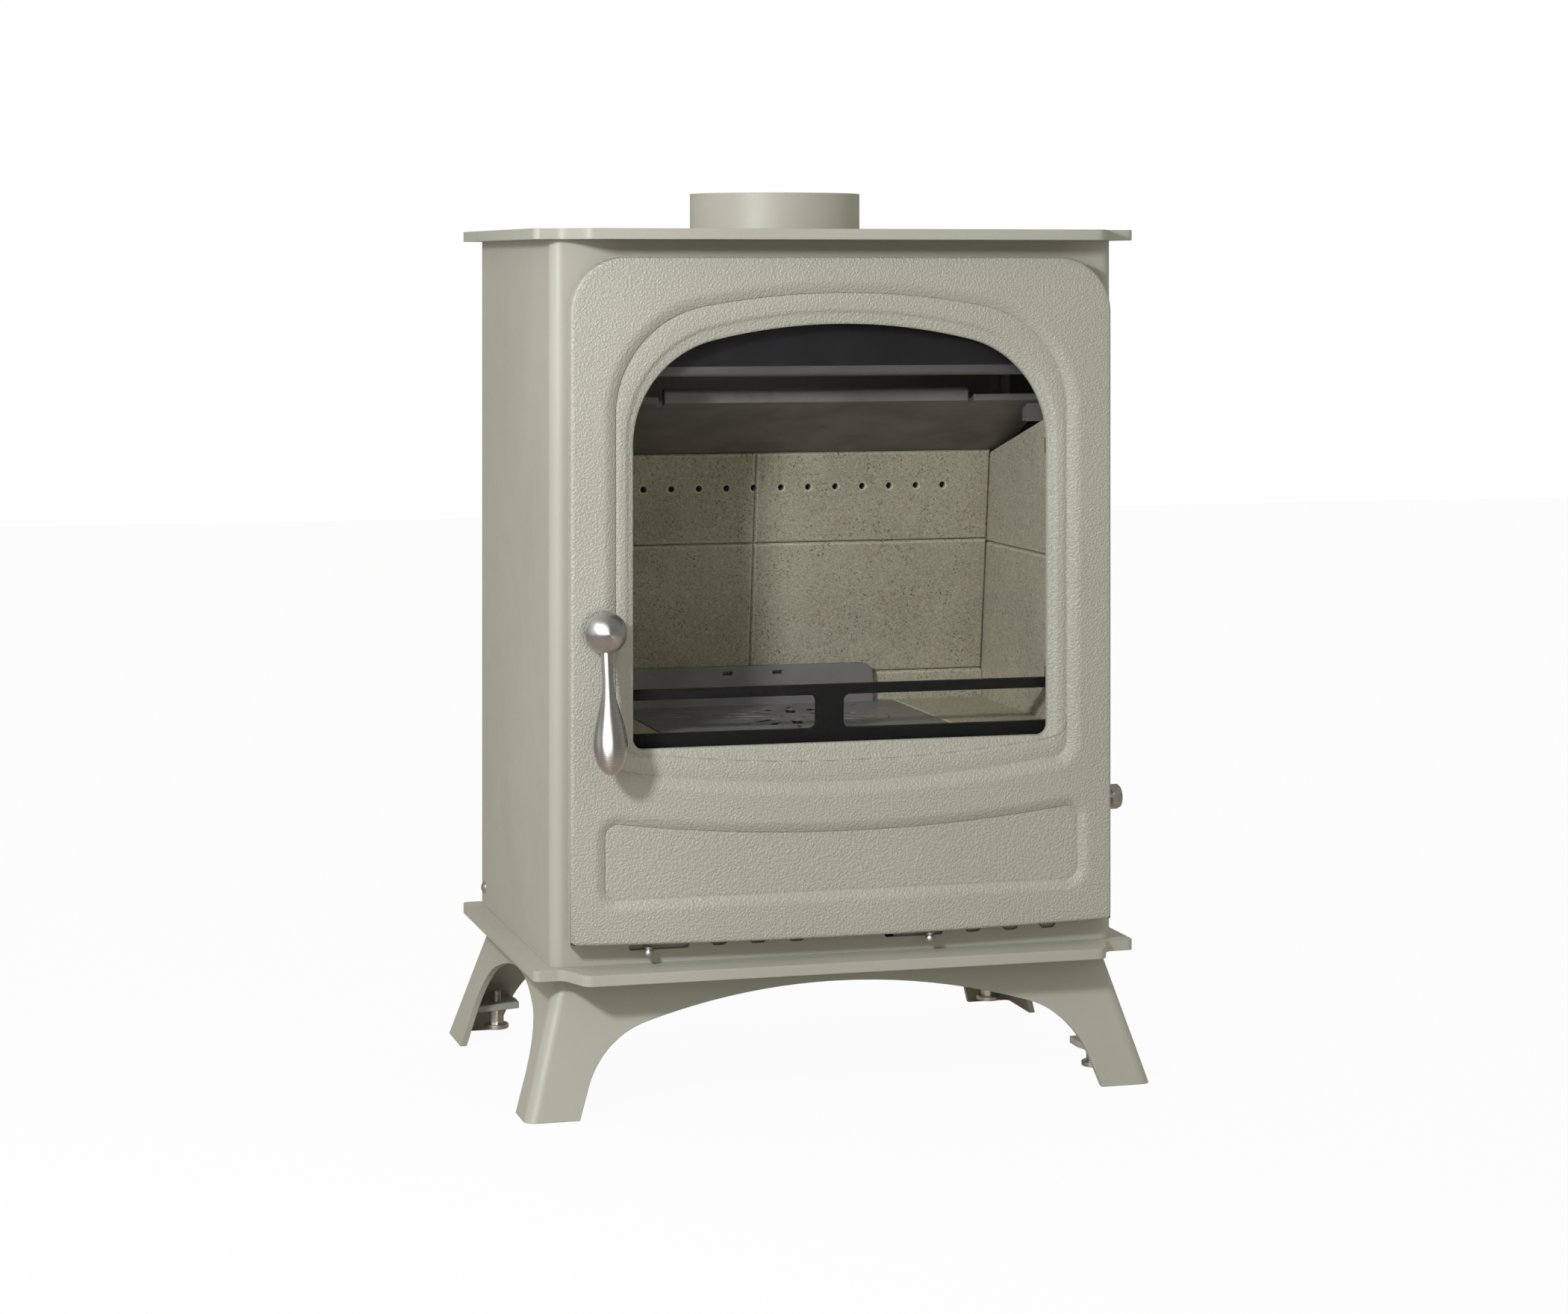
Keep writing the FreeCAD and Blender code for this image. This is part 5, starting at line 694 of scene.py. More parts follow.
@dataclass
class Net:
    """Vertices and faces of one piece, in millimetres until it is made an object."""

    points: np.ndarray
    faces: np.ndarray

    @classmethod
    def ring(cls, points: np.ndarray, flip: bool = False) -> "Net":
        """A net of four-sided faces over a grid of points whose columns close into a ring.

        Args:
            points: the grid (rows, columns, 3).
            flip: turn the faces round.
        """
        rows, columns = points.shape[:2]
        index = np.arange(rows * columns).reshape(rows, columns)
        index = np.hstack([index, index[:, :1]])
        quads = np.stack([index[:-1, :-1], index[1:, :-1], index[1:, 1:], index[:-1, 1:]], -1)
        quads = quads.reshape(-1, 4)
        return cls(points.reshape(-1, 3), quads[:, ::-1] if flip else quads)

    @classmethod
    def turned(cls, profile: np.ndarray, origin: Corner, axis: Corner, count: int,
               shape: np.ndarray | None = None, flip: bool = False) -> "Net":
        """A profile turned about an axis.

        A point of the profile is (radius, height); it goes to origin + height along the axis +
        radius in the turning plane, times the shape's share of the radius for that angle.

        Args:
            profile: rows of radius and height.
            origin: where the height is zero.
            axis: unit direction of the axis.
            count: number of steps round.
            shape: radius factors (rows, count), or None for a round piece.
            flip: turn the faces round.
        """
        axis = np.asarray(axis, float) / np.linalg.norm(axis)
        helper = np.array(Axis.UP.value if abs(axis[2]) < 0.9 else Axis.RIGHT.value)
        first = np.cross(helper, axis)
        first /= np.linalg.norm(first)
        second = np.cross(axis, first)
        angle = np.arange(count) / count * TURN
        ring = np.cos(angle)[:, None] * first + np.sin(angle)[:, None] * second
        radius = profile[:, 0][:, None] * (np.ones((1, count)) if shape is None else shape)
        return cls.ring(np.asarray(origin, float) + profile[:, 1][:, None, None] * axis
                        + radius[:, :, None] * ring[None], flip)

    def join(self, other: "Net") -> "Net":
        """This net and another in one."""
        return Net(np.vstack([self.points, other.points]),
                   np.vstack([self.faces, other.faces + len(self.points)]))


def make_piece(name: str, net: Net, finish: bpy.types.Material, body: Body,
               stands_for: Sequence[str], crease: float = 40.0,
               merge: bool = True) -> None:
    """Make an object from a net, shade it smooth and set it riding.

    Args:
        name: name of the piece.
        net: the surface, in millimetres.
        finish: its material.
        body: the body that it rides on.
        stands_for: CAD nodes that it replaces.
        crease: angle in degrees past which an edge stays sharp.
        merge: join the points at its seams.
    """
    mesh = bpy.data.meshes.new(name)
    mesh.from_pydata((net.points * MM).tolist(), [], net.faces.tolist())
    if merge:
        shape = bmesh.new()
        shape.from_mesh(mesh)
        bmesh.ops.remove_doubles(shape, verts=shape.verts, dist=MERGE * MM)
        bmesh.ops.dissolve_degenerate(shape, edges=shape.edges, dist=MERGE * MM * 0.5)
        shape.to_mesh(mesh)
        shape.free()
        mesh.validate()
    mesh.shade_smooth()
    mesh.set_sharp_from_angle(angle=math.radians(crease))
    mesh.materials.append(finish)
    thing = bpy.data.objects.new(name, mesh)
    bpy.context.scene.collection.objects.link(thing)
    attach(thing, body.value)
    if stands_for:
        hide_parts(*stands_for)
    log.info("%s: %d faces on %s", name, len(mesh.polygons), body.value)


@dataclass(frozen=True)
class Arch:
    """Round-shouldered opening with a sagging sill, about an upright middle line."""

    half: float
    low: float
    high: float
    crown: float
    shoulder: float
    corner: float
    sag: float = 0.0

    def outline(self, x: float) -> np.ndarray:
        """Points of the outline about the middle line at x.

        The shoulder's centre stands one shoulder radius inside the jamb, and as far below the
        crown's top as makes the two arcs touch.
        """
        middle = self.high - self.crown
        across = self.half - self.shoulder
        spring = middle + math.sqrt((self.crown - self.shoulder) ** 2 - across * across)
        share = self.crown / (self.crown - self.shoulder)
        tip_x, tip_z = across * share, middle + (spring - middle) * share
        left, right = x - self.half, x + self.half
        bend = (bowed(self.half - self.corner, self.sag), 1) if self.sag else ()
        return trace(low_corners(left, right, self.low + self.sag, self.corner, bend)
                     + [(right, spring), (x + tip_x, tip_z, self.shoulder, 1),
                        (x - tip_x, tip_z, self.crown, 1), (left, spring, self.shoulder, 1)])


@dataclass
class Rings:
    """Rings of plan points from the inside out, each at one depth behind the door's face."""

    flats: list[np.ndarray] = field(default_factory=list)
    depths: list[np.ndarray] = field(default_factory=list)

    def add(self, ring: np.ndarray, depth: float) -> None:
        """Keep one ring with its depth."""
        self.flats.append(ring)
        self.depths.append(np.full(len(ring), depth))

    def run(self, first: np.ndarray, way: np.ndarray, shares: np.ndarray,
            depth: Callable[[float], float]) -> None:
        """Keep a run of rings.

        Args:
            first: ring that it leaves from.
            way: what leads from there to its end.
            shares: shares of the way.
            depth: depth at a share of the way.
        """
        for share in shares:
            self.add(first + way * share, depth(share))

    def cove(self, foot: np.ndarray, out: np.ndarray, edge: np.ndarray,
             levels: tuple[float, float, float], width: float, power: float,
             counts: tuple[int, int]) -> None:
        """Keep a sharp step, the cove outside it and the flat to the edge.

        The cove's depth falls from its foot with a power of the share of the width.

        Args:
            foot: line of the step.
            out: its outward normals.
            edge: ring where the flat ends.
            levels: depths above the step, just below it and at the cove's foot.
            width: width of the cove.
            power: power of its fall.
            counts: rings of the cove and of the flat.
        """
        above, lip, deep = levels
        self.add(foot - out * 0.15, above)
        self.add(foot + out * 0.1, lip)
        for share in np.linspace(0.0, 1.0, counts[0]):
            self.add(foot + out * (0.3 + width * share), deep * (1.0 - share) ** power)
        last = self.flats[-1]
        self.run(last, edge - last, np.linspace(0.0, 1.0, counts[1])[1:], lambda share: 0.0)


@dataclass
class DoorCasting:
    """Cast door: arched window with a rolled border and a cove, and a sunk lower panel."""

    half: float = 210.5
    centre: float = 2.0
    low: float = 18.8
    high: float = 524.0
    sag: float = 3.4
    top_radius: float = 42.0
    low_radius: float = 0.7
    face: float = 17.2
    edge_round: float = 2.2
    edge_proud: float = 0.12
    edge_tuck: float = 0.4
    edge_reach: float = 3.1
    seam: float = 118.0
    window: Arch = Arch(half=162.0, low=160.0, high=474.0, crown=430.0, shoulder=80.0, corner=8.0)
    roll: Arch = Arch(half=166.0, low=148.5, high=482.5, crown=445.0, shoulder=84.0, corner=9.0,
                      sag=8.5)
    step: Arch = Arch(half=176.3, low=131.5, high=497.5, crown=600.0, shoulder=82.0, corner=12.0,
                      sag=12.0)
    jamb: float = 12.8
    jamb_tuck: float = 0.4
    jamb_inset: float = 0.1
    jamb_edge: float = 0.8
    slope_start: float = 0.5
    slope_fall: float = 1.4
    slope_level: float = 8.0
    roll_width: float = 4.0
    band_level: float = 4.8
    band_crown: float = 0.35
    cove_width: float = 9.6
    cove_depth: float = 3.9
    cove_lip: float = 0.15
    cove_power: float = 1.7
    panel_half: float = 184.5
    panel_low: float = 50.0
    panel_high: float = 106.5
    panel_dip: float = 12.0
    panel_corner: float = 9.5
    panel_width: float = 8.0
    panel_depth: float = 3.7
    panel_foot: float = 2.9
    panel_lip: float = 0.1
    panel_spine: float = 36.0
    dimple_radius: float = 18.0
    dimple_flat: float = 4.0
    dimple_depth: float = 4.2
    wave: float = 0.06
    spacing: float = 1.7

    @property
    def sides(self) -> tuple[float, float]:
        """Left and right side, drawn in by the edge rounding."""
        wide = self.half - self.edge_round
        return self.centre - wide, self.centre + wide

    def upper_edge(self) -> np.ndarray:
        """Door outline above the seam line, drawn in by the edge rounding."""
        left, right = self.sides
        return trace([(left, self.seam), (right, self.seam)]
                     + high_corners(left, right, self.high - self.edge_round,
                                    self.top_radius - self.edge_round))

    def lower_edge(self) -> np.ndarray:
        """Door outline below the seam line, drawn in by the edge rounding."""
        left, right = self.sides
        bend = (bowed(self.half - self.edge_round, self.sag), 1)
        return trace([(left, self.seam)]
                     + low_corners(left, right, self.low + self.edge_round, self.low_radius, bend)
                     + [(right, self.seam)])

    def panel(self) -> np.ndarray:
        """Foot line of the lower panel's bevel, whose top dips in the middle."""
        left, right = self.centre - self.panel_half, self.centre + self.panel_half
        bend = (bowed(self.panel_half - self.panel_corner, self.panel_dip), -1)
        return trace(low_corners(left, right, self.panel_low, self.panel_corner)
                     + high_corners(left, right, self.panel_high, self.panel_corner, bend))

    def cast(self, rings: Rings) -> Net:
        """Give rings their depth, with the handle's dimple and a foundry's slow waves.

        The dimple is a smooth bowl: its depth falls with the smooth step of the distance from
        its centre. The waves are two crossed sines of a few hundredths of a millimetre.
        """
        flat, depth = np.stack(rings.flats), np.stack(rings.depths)
        away = np.hypot(flat[..., 0] - HANDLE_X, flat[..., 1] - HANDLE_Z)
        bowl = self.dimple_depth * (1.0 - smooth((away - self.dimple_flat)
                                                 / (self.dimple_radius - self.dimple_flat)))
        sunk = np.maximum(depth, np.where(depth < self.band_level + 0.5, bowl, depth))
        waves = self.wave * np.sin(flat[..., 0] / 23.0 + 1.0) * np.sin(flat[..., 1] / 31.0)
        level = FRONT - self.face + sunk + waves
        return Net.ring(np.stack([flat[..., 0], level, flat[..., 1] + DECK], -1))

    def window_rings(self, counts: Sequence[int]) -> Rings:
        """Rings from the jamb out to the door's edge.

        Each ring lies between two outlines or a set way outside one, at a depth from the
        section: jamb, slope, rolled border, slightly crowned band, small lip, cove and flat.
        """
        left, right = self.sides
        high = self.high - self.edge_round
        knee = (self.top_radius - self.edge_round) * (1.0 - math.sqrt(0.5))
        rays = np.array([(left, self.seam), (right, self.seam), (right - knee, high - knee),
                         (left + knee, high - knee)])
        middle = (self.centre, (self.window.low + self.window.high) / 2.0)
        loops = [arch.outline(self.centre) for arch in (self.window, self.roll, self.step)]
        window, roll, step, edge = (split_sides(loop, middle, rays, counts)
                                    for loop in (*loops, self.upper_edge()))
        out_window, out_roll, out_step = outward(window), outward(roll), outward(step)
        rings = Rings()
        rings.add(window + out_window * self.jamb_tuck, self.jamb)
        rings.add(window - out_window * self.jamb_inset, self.jamb)
        rings.add(window - out_window * self.jamb_inset, self.slope_level + self.jamb_edge)
        foot = window + out_window * self.slope_start
        rings.run(foot, roll - foot, np.linspace(0.0, 1.0, 6)[:-1],
                  lambda share: self.slope_level - self.slope_fall * share)
        border = self.slope_level - self.slope_fall
        rings.run(roll, out_roll * self.roll_width, np.linspace(0.0, 1.0, 8),
                  lambda share: border - (border - self.band_level) * math.sin(share * QUARTER))
        inner = roll + out_roll * self.roll_width
        rings.run(inner, step - out_step * 0.5 - inner, np.linspace(0.0, 1.0, 8)[1:],
                  lambda share: self.band_level - self.band_crown * math.sin(math.pi * share))
        rings.cove(step, out_step, edge,
                   (self.band_level, self.cove_depth + self.cove_lip, self.cove_depth),
                   self.cove_width, self.cove_power, (15, 15))
        return rings

    def panel_rings(self, counts: Sequence[int]) -> Rings:
        """Rings from the lower panel's middle line out to the door's edge and the seam."""
        left, right = self.sides
        low, x, half = self.low + self.edge_round, self.centre, self.panel_half
        middle = (x, (self.panel_low + self.panel_high) / 2.0 - self.panel_dip / 3.0)
        rays = np.array([(left, low), (right, low), (right, self.seam), (left, self.seam)])
        corners = np.array([(x - half, self.panel_low), (x + half, self.panel_low),
                            (x + half, self.panel_high), (x - half, self.panel_high)])
        foot = split_sides(self.panel(), middle, corners, counts)
        edge = split_sides(self.lower_edge(), middle, rays, counts)
        out = outward(foot)
        ends = x - half + self.panel_spine, x + half - self.panel_spine
        spine = np.column_stack([np.clip(foot[:, 0], *ends), np.full(len(foot), middle[1])])
        rings = Rings()
        rings.run(spine, foot - out * 0.5 - spine, np.linspace(0.0, 1.0, 14),
                  lambda share: self.panel_depth - self.panel_lip)
        rings.cove(foot, out, edge,
                   (self.panel_depth, self.panel_foot + self.panel_lip, self.panel_foot),
                   self.panel_width, self.cove_power, (13, 10))
        return rings

    def rim(self, loop: np.ndarray) -> Rings:
        """Strip round the whole outline: a quarter round, a short side and a tucked end."""
        out, rings = outward(loop), Rings()
        for angle in np.linspace(0.0, QUARTER, 7):
            rise = math.sin(angle)
            rings.add(loop + out * (self.edge_round * rise + self.edge_proud * rise),
                      self.edge_round * (1.0 - math.cos(angle)))
        for reach in (self.edge_proud, -self.edge_tuck):
            rings.add(loop + out * (self.edge_round + reach), self.edge_reach)
        return rings

    def back_of_casting(self) -> Net:
        """The CAD casting without its front, from a merged copy of its mesh.

        A face goes where its normal leans to the front, which the skin covers.
        """
        shape = bmesh.new()
        shape.from_mesh(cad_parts["door_casting"].data)
        bmesh.ops.remove_doubles(shape, verts=shape.verts, dist=0.005 * MM)
        bmesh.ops.triangulate(shape, faces=shape.faces)
        gone = [face for face in shape.faces if face.normal.y < -0.03]
        bmesh.ops.delete(shape, geom=gone, context="FACES")
        copy = bpy.data.meshes.new("door_back_copy")
        shape.to_mesh(copy)
        shape.free()
        points = np.empty(len(copy.vertices) * 3)
        copy.vertices.foreach_get("co", points)
        corners = np.empty(len(copy.loops), int)
        copy.loops.foreach_get("vertex_index", corners)
        bpy.data.meshes.remove(copy)
        return Net(points.reshape(-1, 3) / MM, corners.reshape(-1, 3))

    def build(self) -> None:
        """Make the skin from the rings and the rim, and the back from the CAD casting."""
        along = int((self.half * 2.0) / self.spacing)
        up = int((self.high - self.seam) / self.spacing)
        down = int((self.seam - self.low) / self.spacing)
        upper = self.window_rings((along, up, along, up))
        lower = self.panel_rings((along, down, along, down))
        rim = self.rim(np.vstack([lower.flats[-1][:along + down], upper.flats[-1][along:]]))
        skin = self.cast(upper).join(self.cast(lower)).join(self.cast(rim))
        back = self.back_of_casting()
        make_piece("door_casting_skin", skin, Finish.CAST.material, Body.DOOR, ["door_casting"],
                   crease=50.0)
        make_piece("door_casting_back", back, Finish.CAST.material, Body.DOOR, [],
                   crease=30.0, merge=False)


@dataclass
class DoorHandle:
    """Turned ball on the door with a drop-shaped lever that hangs from it."""

    ball_depth: float = 29.0
    ball_radius: float = 15.6
    ball_part: float = 0.86
    foot_radius: float = 5.2
    foot_end: float = -17.5
    tilt: float = 10.6
    start: float = 13.0
    neck_radius: float = 4.3
    waist: float = 46.0
    waist_radius: float = 4.0
    waist_early: float = 12.0
    belly: float = 82.0
    belly_radius: float = 12.64
    end: float = 103.5
    end_power: float = 0.52

    def centre(self) -> Triple:
        """Middle of the ball in millimetres."""
        return (HANDLE_X, FRONT - self.ball_depth, HANDLE_Z + DECK)

    def ball(self) -> Net:
        """Ball with a flattened foot: radius R sin, height R cos, cut where the neck starts."""
        angle = np.linspace(0.0, math.pi * self.ball_part, 60)
        radius, height = self.ball_radius * np.sin(angle), self.ball_radius * np.cos(angle)
        neck = [[radius[-1], height[-1] - 1.0], [self.foot_radius, height[-1] - 1.6],
                [self.foot_radius, self.foot_end], [0.0, self.foot_end]]
        profile = np.vstack([np.column_stack([radius, height]), neck])
        return Net.turned(profile, self.centre(), Axis.FORWARD.value, 96)

    def lever(self) -> Net:
        """Lever along its own axis.

        From neck to waist the radius follows a smooth step, from waist to belly another, and
        past the belly it is the belly's times (1 - t squared) to a power near a half.
        """
        past_belly = (self.end - self.belly) * np.sin(np.linspace(0.0, QUARTER, 40))[1:]
        along = np.r_[np.linspace(self.start, self.belly, 90), self.belly + past_belly]
        radius = self.neck_radius + (self.waist_radius - self.neck_radius) * smooth(
            (along - self.start) / (self.waist - self.start))
        radius += (self.belly_radius - self.waist_radius) * smooth(
            (along - self.waist + self.waist_early) / (self.belly - self.waist + self.waist_early))
        past = np.clip((along - self.belly) / (self.end - self.belly), 0.0, 1.0)
        radius *= (1.0 - past * past) ** self.end_power
        lean = math.radians(self.tilt)
        return Net.turned(np.column_stack([radius, along]), self.centre(),
                          (0.0, -math.sin(lean), -math.cos(lean)), 72)

    def build(self) -> None:
        """Make both turned pieces with rings about their own axes."""
        centre = tuple(part * MM for part in self.centre())
        lean = -math.radians(90.0 + self.tilt)
        ball = Turned("turned_ball", STEEL, centre, (0.0, 0.0, 0.0), 0.3, 0.000012, 3200.0, 0.0)
        lever = Turned("turned_lever", STEEL, centre, (lean, 0.0, 0.0), 0.26, 0.0000005, 0.0,
                       2600.0)
        for name, net, finish in (("ball", self.ball(), ball), ("lever", self.lever(), lever)):
            make_piece(f"handle_{name}_turned", net, finish.build(), Body.HANDLE,
                       ["handle_" + name])


@dataclass
class Foot:
    """Levelling foot: a flange, a chamfered hexagon and a threaded stud in one."""

    place: str
    flange_radius: float = 10.0
    flange: float = 4.0
    flats: float = 11.0
    hexagon: float = 11.5
    chamfer: float = 1.055
    stud_radius: float = 4.0
    pitch: float = 1.25
    groove: float = 0.45
    count: int = 72

    def net(self, low: Vector, high: Vector) -> Net:
        """Radius over angle and height: a rounded flange, a hexagon cut by cones, a helix.

        The thread's radius is the stud's less a groove that is a triangle wave of height over
        pitch less turn.

        Args:
            low: low corner of the CAD foot.
            high: its high corner.
        """
        base, top, wide = low.z, high.z, self.flange_radius
        hex_low, hex_high = base + self.flange, base + self.flange + self.hexagon
        thread = np.arange(hex_high + 0.05, top - 0.6, self.pitch / 6.0)
        height = np.r_[base, base, base + 0.5, base + self.flange - 0.9, base + self.flange - 0.2,
                       hex_low, hex_low, hex_low + 1.0, hex_high - 1.0, hex_high, hex_high,
                       thread, top, top]
        width = self.flats / 2.0
        radius = np.r_[0.0, wide - 0.6, wide, wide, wide - 0.7, width * 1.02, width, width, width,
                       width * 0.98, self.stud_radius, np.full(len(thread), self.stud_radius),
                       self.stud_radius - 0.6, 0.0]
        shape = np.ones((len(height), self.count))
        share = hexagon_share(self.count)
        shape[6:9] = share
        shape[[6, 9]] = np.minimum(share, self.chamfer)
        angle = np.arange(self.count) / self.count
        phase = (thread[:, None] / self.pitch - angle[None]) % 1.0
        wave = np.abs(phase * 2.0 - 1.0)
        shape[11:11 + len(thread)] = 1.0 - self.groove / self.stud_radius * wave
        middle = ((low.x + high.x) / 2.0, (low.y + high.y) / 2.0, 0.0)
        return Net.turned(np.column_stack([radius, height]), middle, Axis.UP.value, self.count,
                          shape)

    def build(self) -> None:
        """Make the foot where its CAD node stands."""
        node = "levelling_foot_" + self.place
        make_piece("foot_" + self.place + "_threaded", self.net(*node_box(node)),
                   Finish.ZINC.material, Body("foot_" + self.place), [node],
                   crease=25.0)


@dataclass
class AirKnob:
    """Small turned knob that hangs from the bent end of the slide's arm."""

    node: str
    body: Body
    ball_radius: float = 3.6
    ball_level: float = 9.6
    peg_radius: float = 2.3
    collar: float = 0.7
    collar_height: float = 0.9
    collar_low: float = 2.3
    arm_radius: float = 2.0
    arm_level: float = 12.4

    def build(self) -> None:
        """Turn the ball and its peg upright, and the arm about its own line."""
        low, high = node_box(self.node)
        x, tip = (low.x + high.x) / 2.0, low.y + self.ball_radius
        top, reach, rise = high.z - DECK, high.y - tip, self.collar_height
        angle = np.linspace(math.pi, math.asin(self.peg_radius / self.ball_radius), 26)
        ball = np.column_stack([self.ball_radius * np.sin(angle),
                                self.ball_level + self.ball_radius * np.cos(angle)])
        turn, waist = np.linspace(0.0, QUARTER, 8), np.linspace(0.0, 1.0, 6)
        collar = np.column_stack([self.peg_radius + self.collar * smooth(waist),
                                  top - self.collar_low + rise * waist])
        dome = np.column_stack([(self.peg_radius + self.collar) * np.cos(turn),
                                top - rise + rise * np.sin(turn)])
        upright = Net.turned(np.vstack([ball, collar, dome]), (x, tip, DECK), Axis.UP.value, 40,
                             flip=True)
        rod = np.array([[0.0, 0.0], [self.arm_radius, 0.0], [self.arm_radius, reach],
                        [0.0, reach]])
        arm = Net.turned(rod, (x, tip, DECK + self.arm_level), Axis.BACKWARD.value, 32, flip=True)
        make_piece(self.node + "_turned", upright.join(arm), Finish.ZINC.material, self.body,
                   [self.node])


@dataclass
class RodHexagon:
    """Hexagon end of the riddling rod, chamfered, with a lathe centre in its face."""

    node: str = "riddling_hex"
    flats: float = 17.0
    chamfer: float = 1.3
    dimple: float = 1.8
    count: int = 96

    def build(self) -> None:
        """Radius over angle and length: a hexagon cut by a cone at its outer end."""
        low, high = node_box(self.node)
        origin = (low.x, (low.y + high.y) / 2.0, (low.z + high.z) / 2.0)
        length, width = high.x - low.x, self.flats / 2.0
        inner = length - self.chamfer
        profile = np.array([[0.0, 0.0], [width, 0.0], [width, 0.6], [width, inner],
                            [width * 0.985, length], [self.dimple, length], [0.3, inner],
                            [0.0, inner]])
        shape = np.ones((len(profile), self.count))
        share = hexagon_share(self.count, TURN / 12.0)
        shape[1] = np.minimum(share, 1.06)
        shape[2:4] = share
        net = Net.turned(profile, origin, Axis.RIGHT.value, self.count, shape)
        make_piece("riddling_hex_chamfered", net, Finish.ZINC.material, Body.BAR, [self.node],
                   crease=25.0)


@dataclass
class DoorRope:
    """Knitted rope in the groove behind the door, with plaited strands."""

    node: str = "door_rope"
    radius: float = 3.0
    strands: int = 5
    pitch: float = 9.0
    step: float = 0.9
    top_bend: float = 30.0
    low_bend: float = 8.0
    count: int = 30

    def build(self) -> None:
        """Carry a lumpy section along the groove's rounded path.

        The section's radius is the rope's, plus the larger of two sines that wind opposite
        ways round it, which makes the plait.
        """
        low, high = node_box(self.node)
        r = self.radius
        left, right = low.x + r, high.x - r
        loop = trace(low_corners(left, right, low.z + r, self.low_bend)
                     + high_corners(left, right, high.z - r, self.top_bend), self.step)
        out = outward(loop)
        reach = np.arange(len(loop)) * self.step
        phase = reach / reach[-1] * round(reach[-1] / self.pitch) * TURN
        angle = np.arange(self.count) / self.count * TURN
        wind = self.strands * angle[None, :]
        knit = np.maximum(np.sin(phase[:, None] + wind), np.sin(phase[:, None] - wind + 0.6))
        girth = r * (0.9 + 0.09 * knit)
        across = girth * np.cos(angle)[None]
        grid = np.stack([loop[:, 0][:, None] + out[:, 0][:, None] * across,
                         (low.y + high.y) / 2.0 - girth * np.sin(angle)[None],
                         loop[:, 1][:, None] + out[:, 1][:, None] * across], -1)
        grid = np.concatenate([grid, grid[:1]])
        make_piece("door_rope_plaited", Net.ring(grid, flip=True), Finish.ROPE.material,
                   Body.DOOR, [self.node], crease=80.0)


@dataclass
class Dressing:
    """Finishes of the CAD nodes whose shape is right as it is."""

    plain: tuple[tuple[Finish, tuple[str, ...]], ...] = (
        (Finish.CASING, ("base_plate", "top_plate", "flue_collar", "leg_stand", "foot_tabs",
                         "primary_slide", "airwash_slide", "body_casing", "back_panel",
                         "hinge_brackets", "fire_shelf_brackets")),
        (Finish.ZINC, ("casing_screws", "glass_clip_screws", "hinge_pins", "latch_nut",
                       "riddling_rod", "handle_spindle")),
        (Finish.BLACK, ("log_guard", "guard_keepers", "latch_tongue", "glass_clips",
                        "slide_guides", "rod_guide")),
        (Finish.GRATE, ("grate_frame", "grate_disc")),
        (Finish.BAFFLE, ("throat_plate", "throat_plate_lugs", "smoke_ledge")),
        (Finish.BLUED, ("airwash_plate",)),
        (Finish.MILD, ("ash_shelf", "fire_shelf", "air_channels", "rear_air_box",
                       "ash_pan_rails")),
        (Finish.PAN, ("ash_pan", "ash_pan_pull")),
        (Finish.TAPE, ("glass_tape",)),
        (Finish.GLASS, ("door_glass",)),
        (Finish.BRICK, ("side_brick_lower_left", "side_brick_lower_right",
                        "side_brick_upper_left", "side_brick_upper_right",
                        "back_brick_lower_left", "back_brick_lower_right",
                        "back_brick_upper_left", "back_brick_upper_right",
                        "floor_brick_left", "floor_brick_right", "floor_brick_rear")),
    )

    def build(self) -> None:
        """Give each node its finish in place of the CAD material."""
        for finish, nodes in self.plain:
            for node in nodes:
                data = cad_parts[node].data
                data.materials.clear()
                data.materials.append(finish.material)
            log.info("%s on %d nodes", finish.value.name, len(nodes))


@dataclass(frozen=True)
class Lamp:
    """One square area lamp, in metres and watts."""

    name: str
    place: Triple
    aim: Triple
    size: float
    power: float
    colour: Triple = (1.0, 0.99, 0.95)

    def build(self) -> None:
        """Place the lamp so that its face looks at the aim."""
        data = bpy.data.lights.new(self.name, "AREA")
        data.shape = "SQUARE"
        data.size = self.size
        data.energy = self.power
        data.color = self.colour
        lamp = bpy.data.objects.new(self.name, data)
        lamp.location = self.place
        way = Vector(self.aim) - Vector(self.place)
        lamp.rotation_euler = way.to_track_quat("-Z", "Y").to_euler()
        bpy.context.scene.collection.objects.link(lamp)


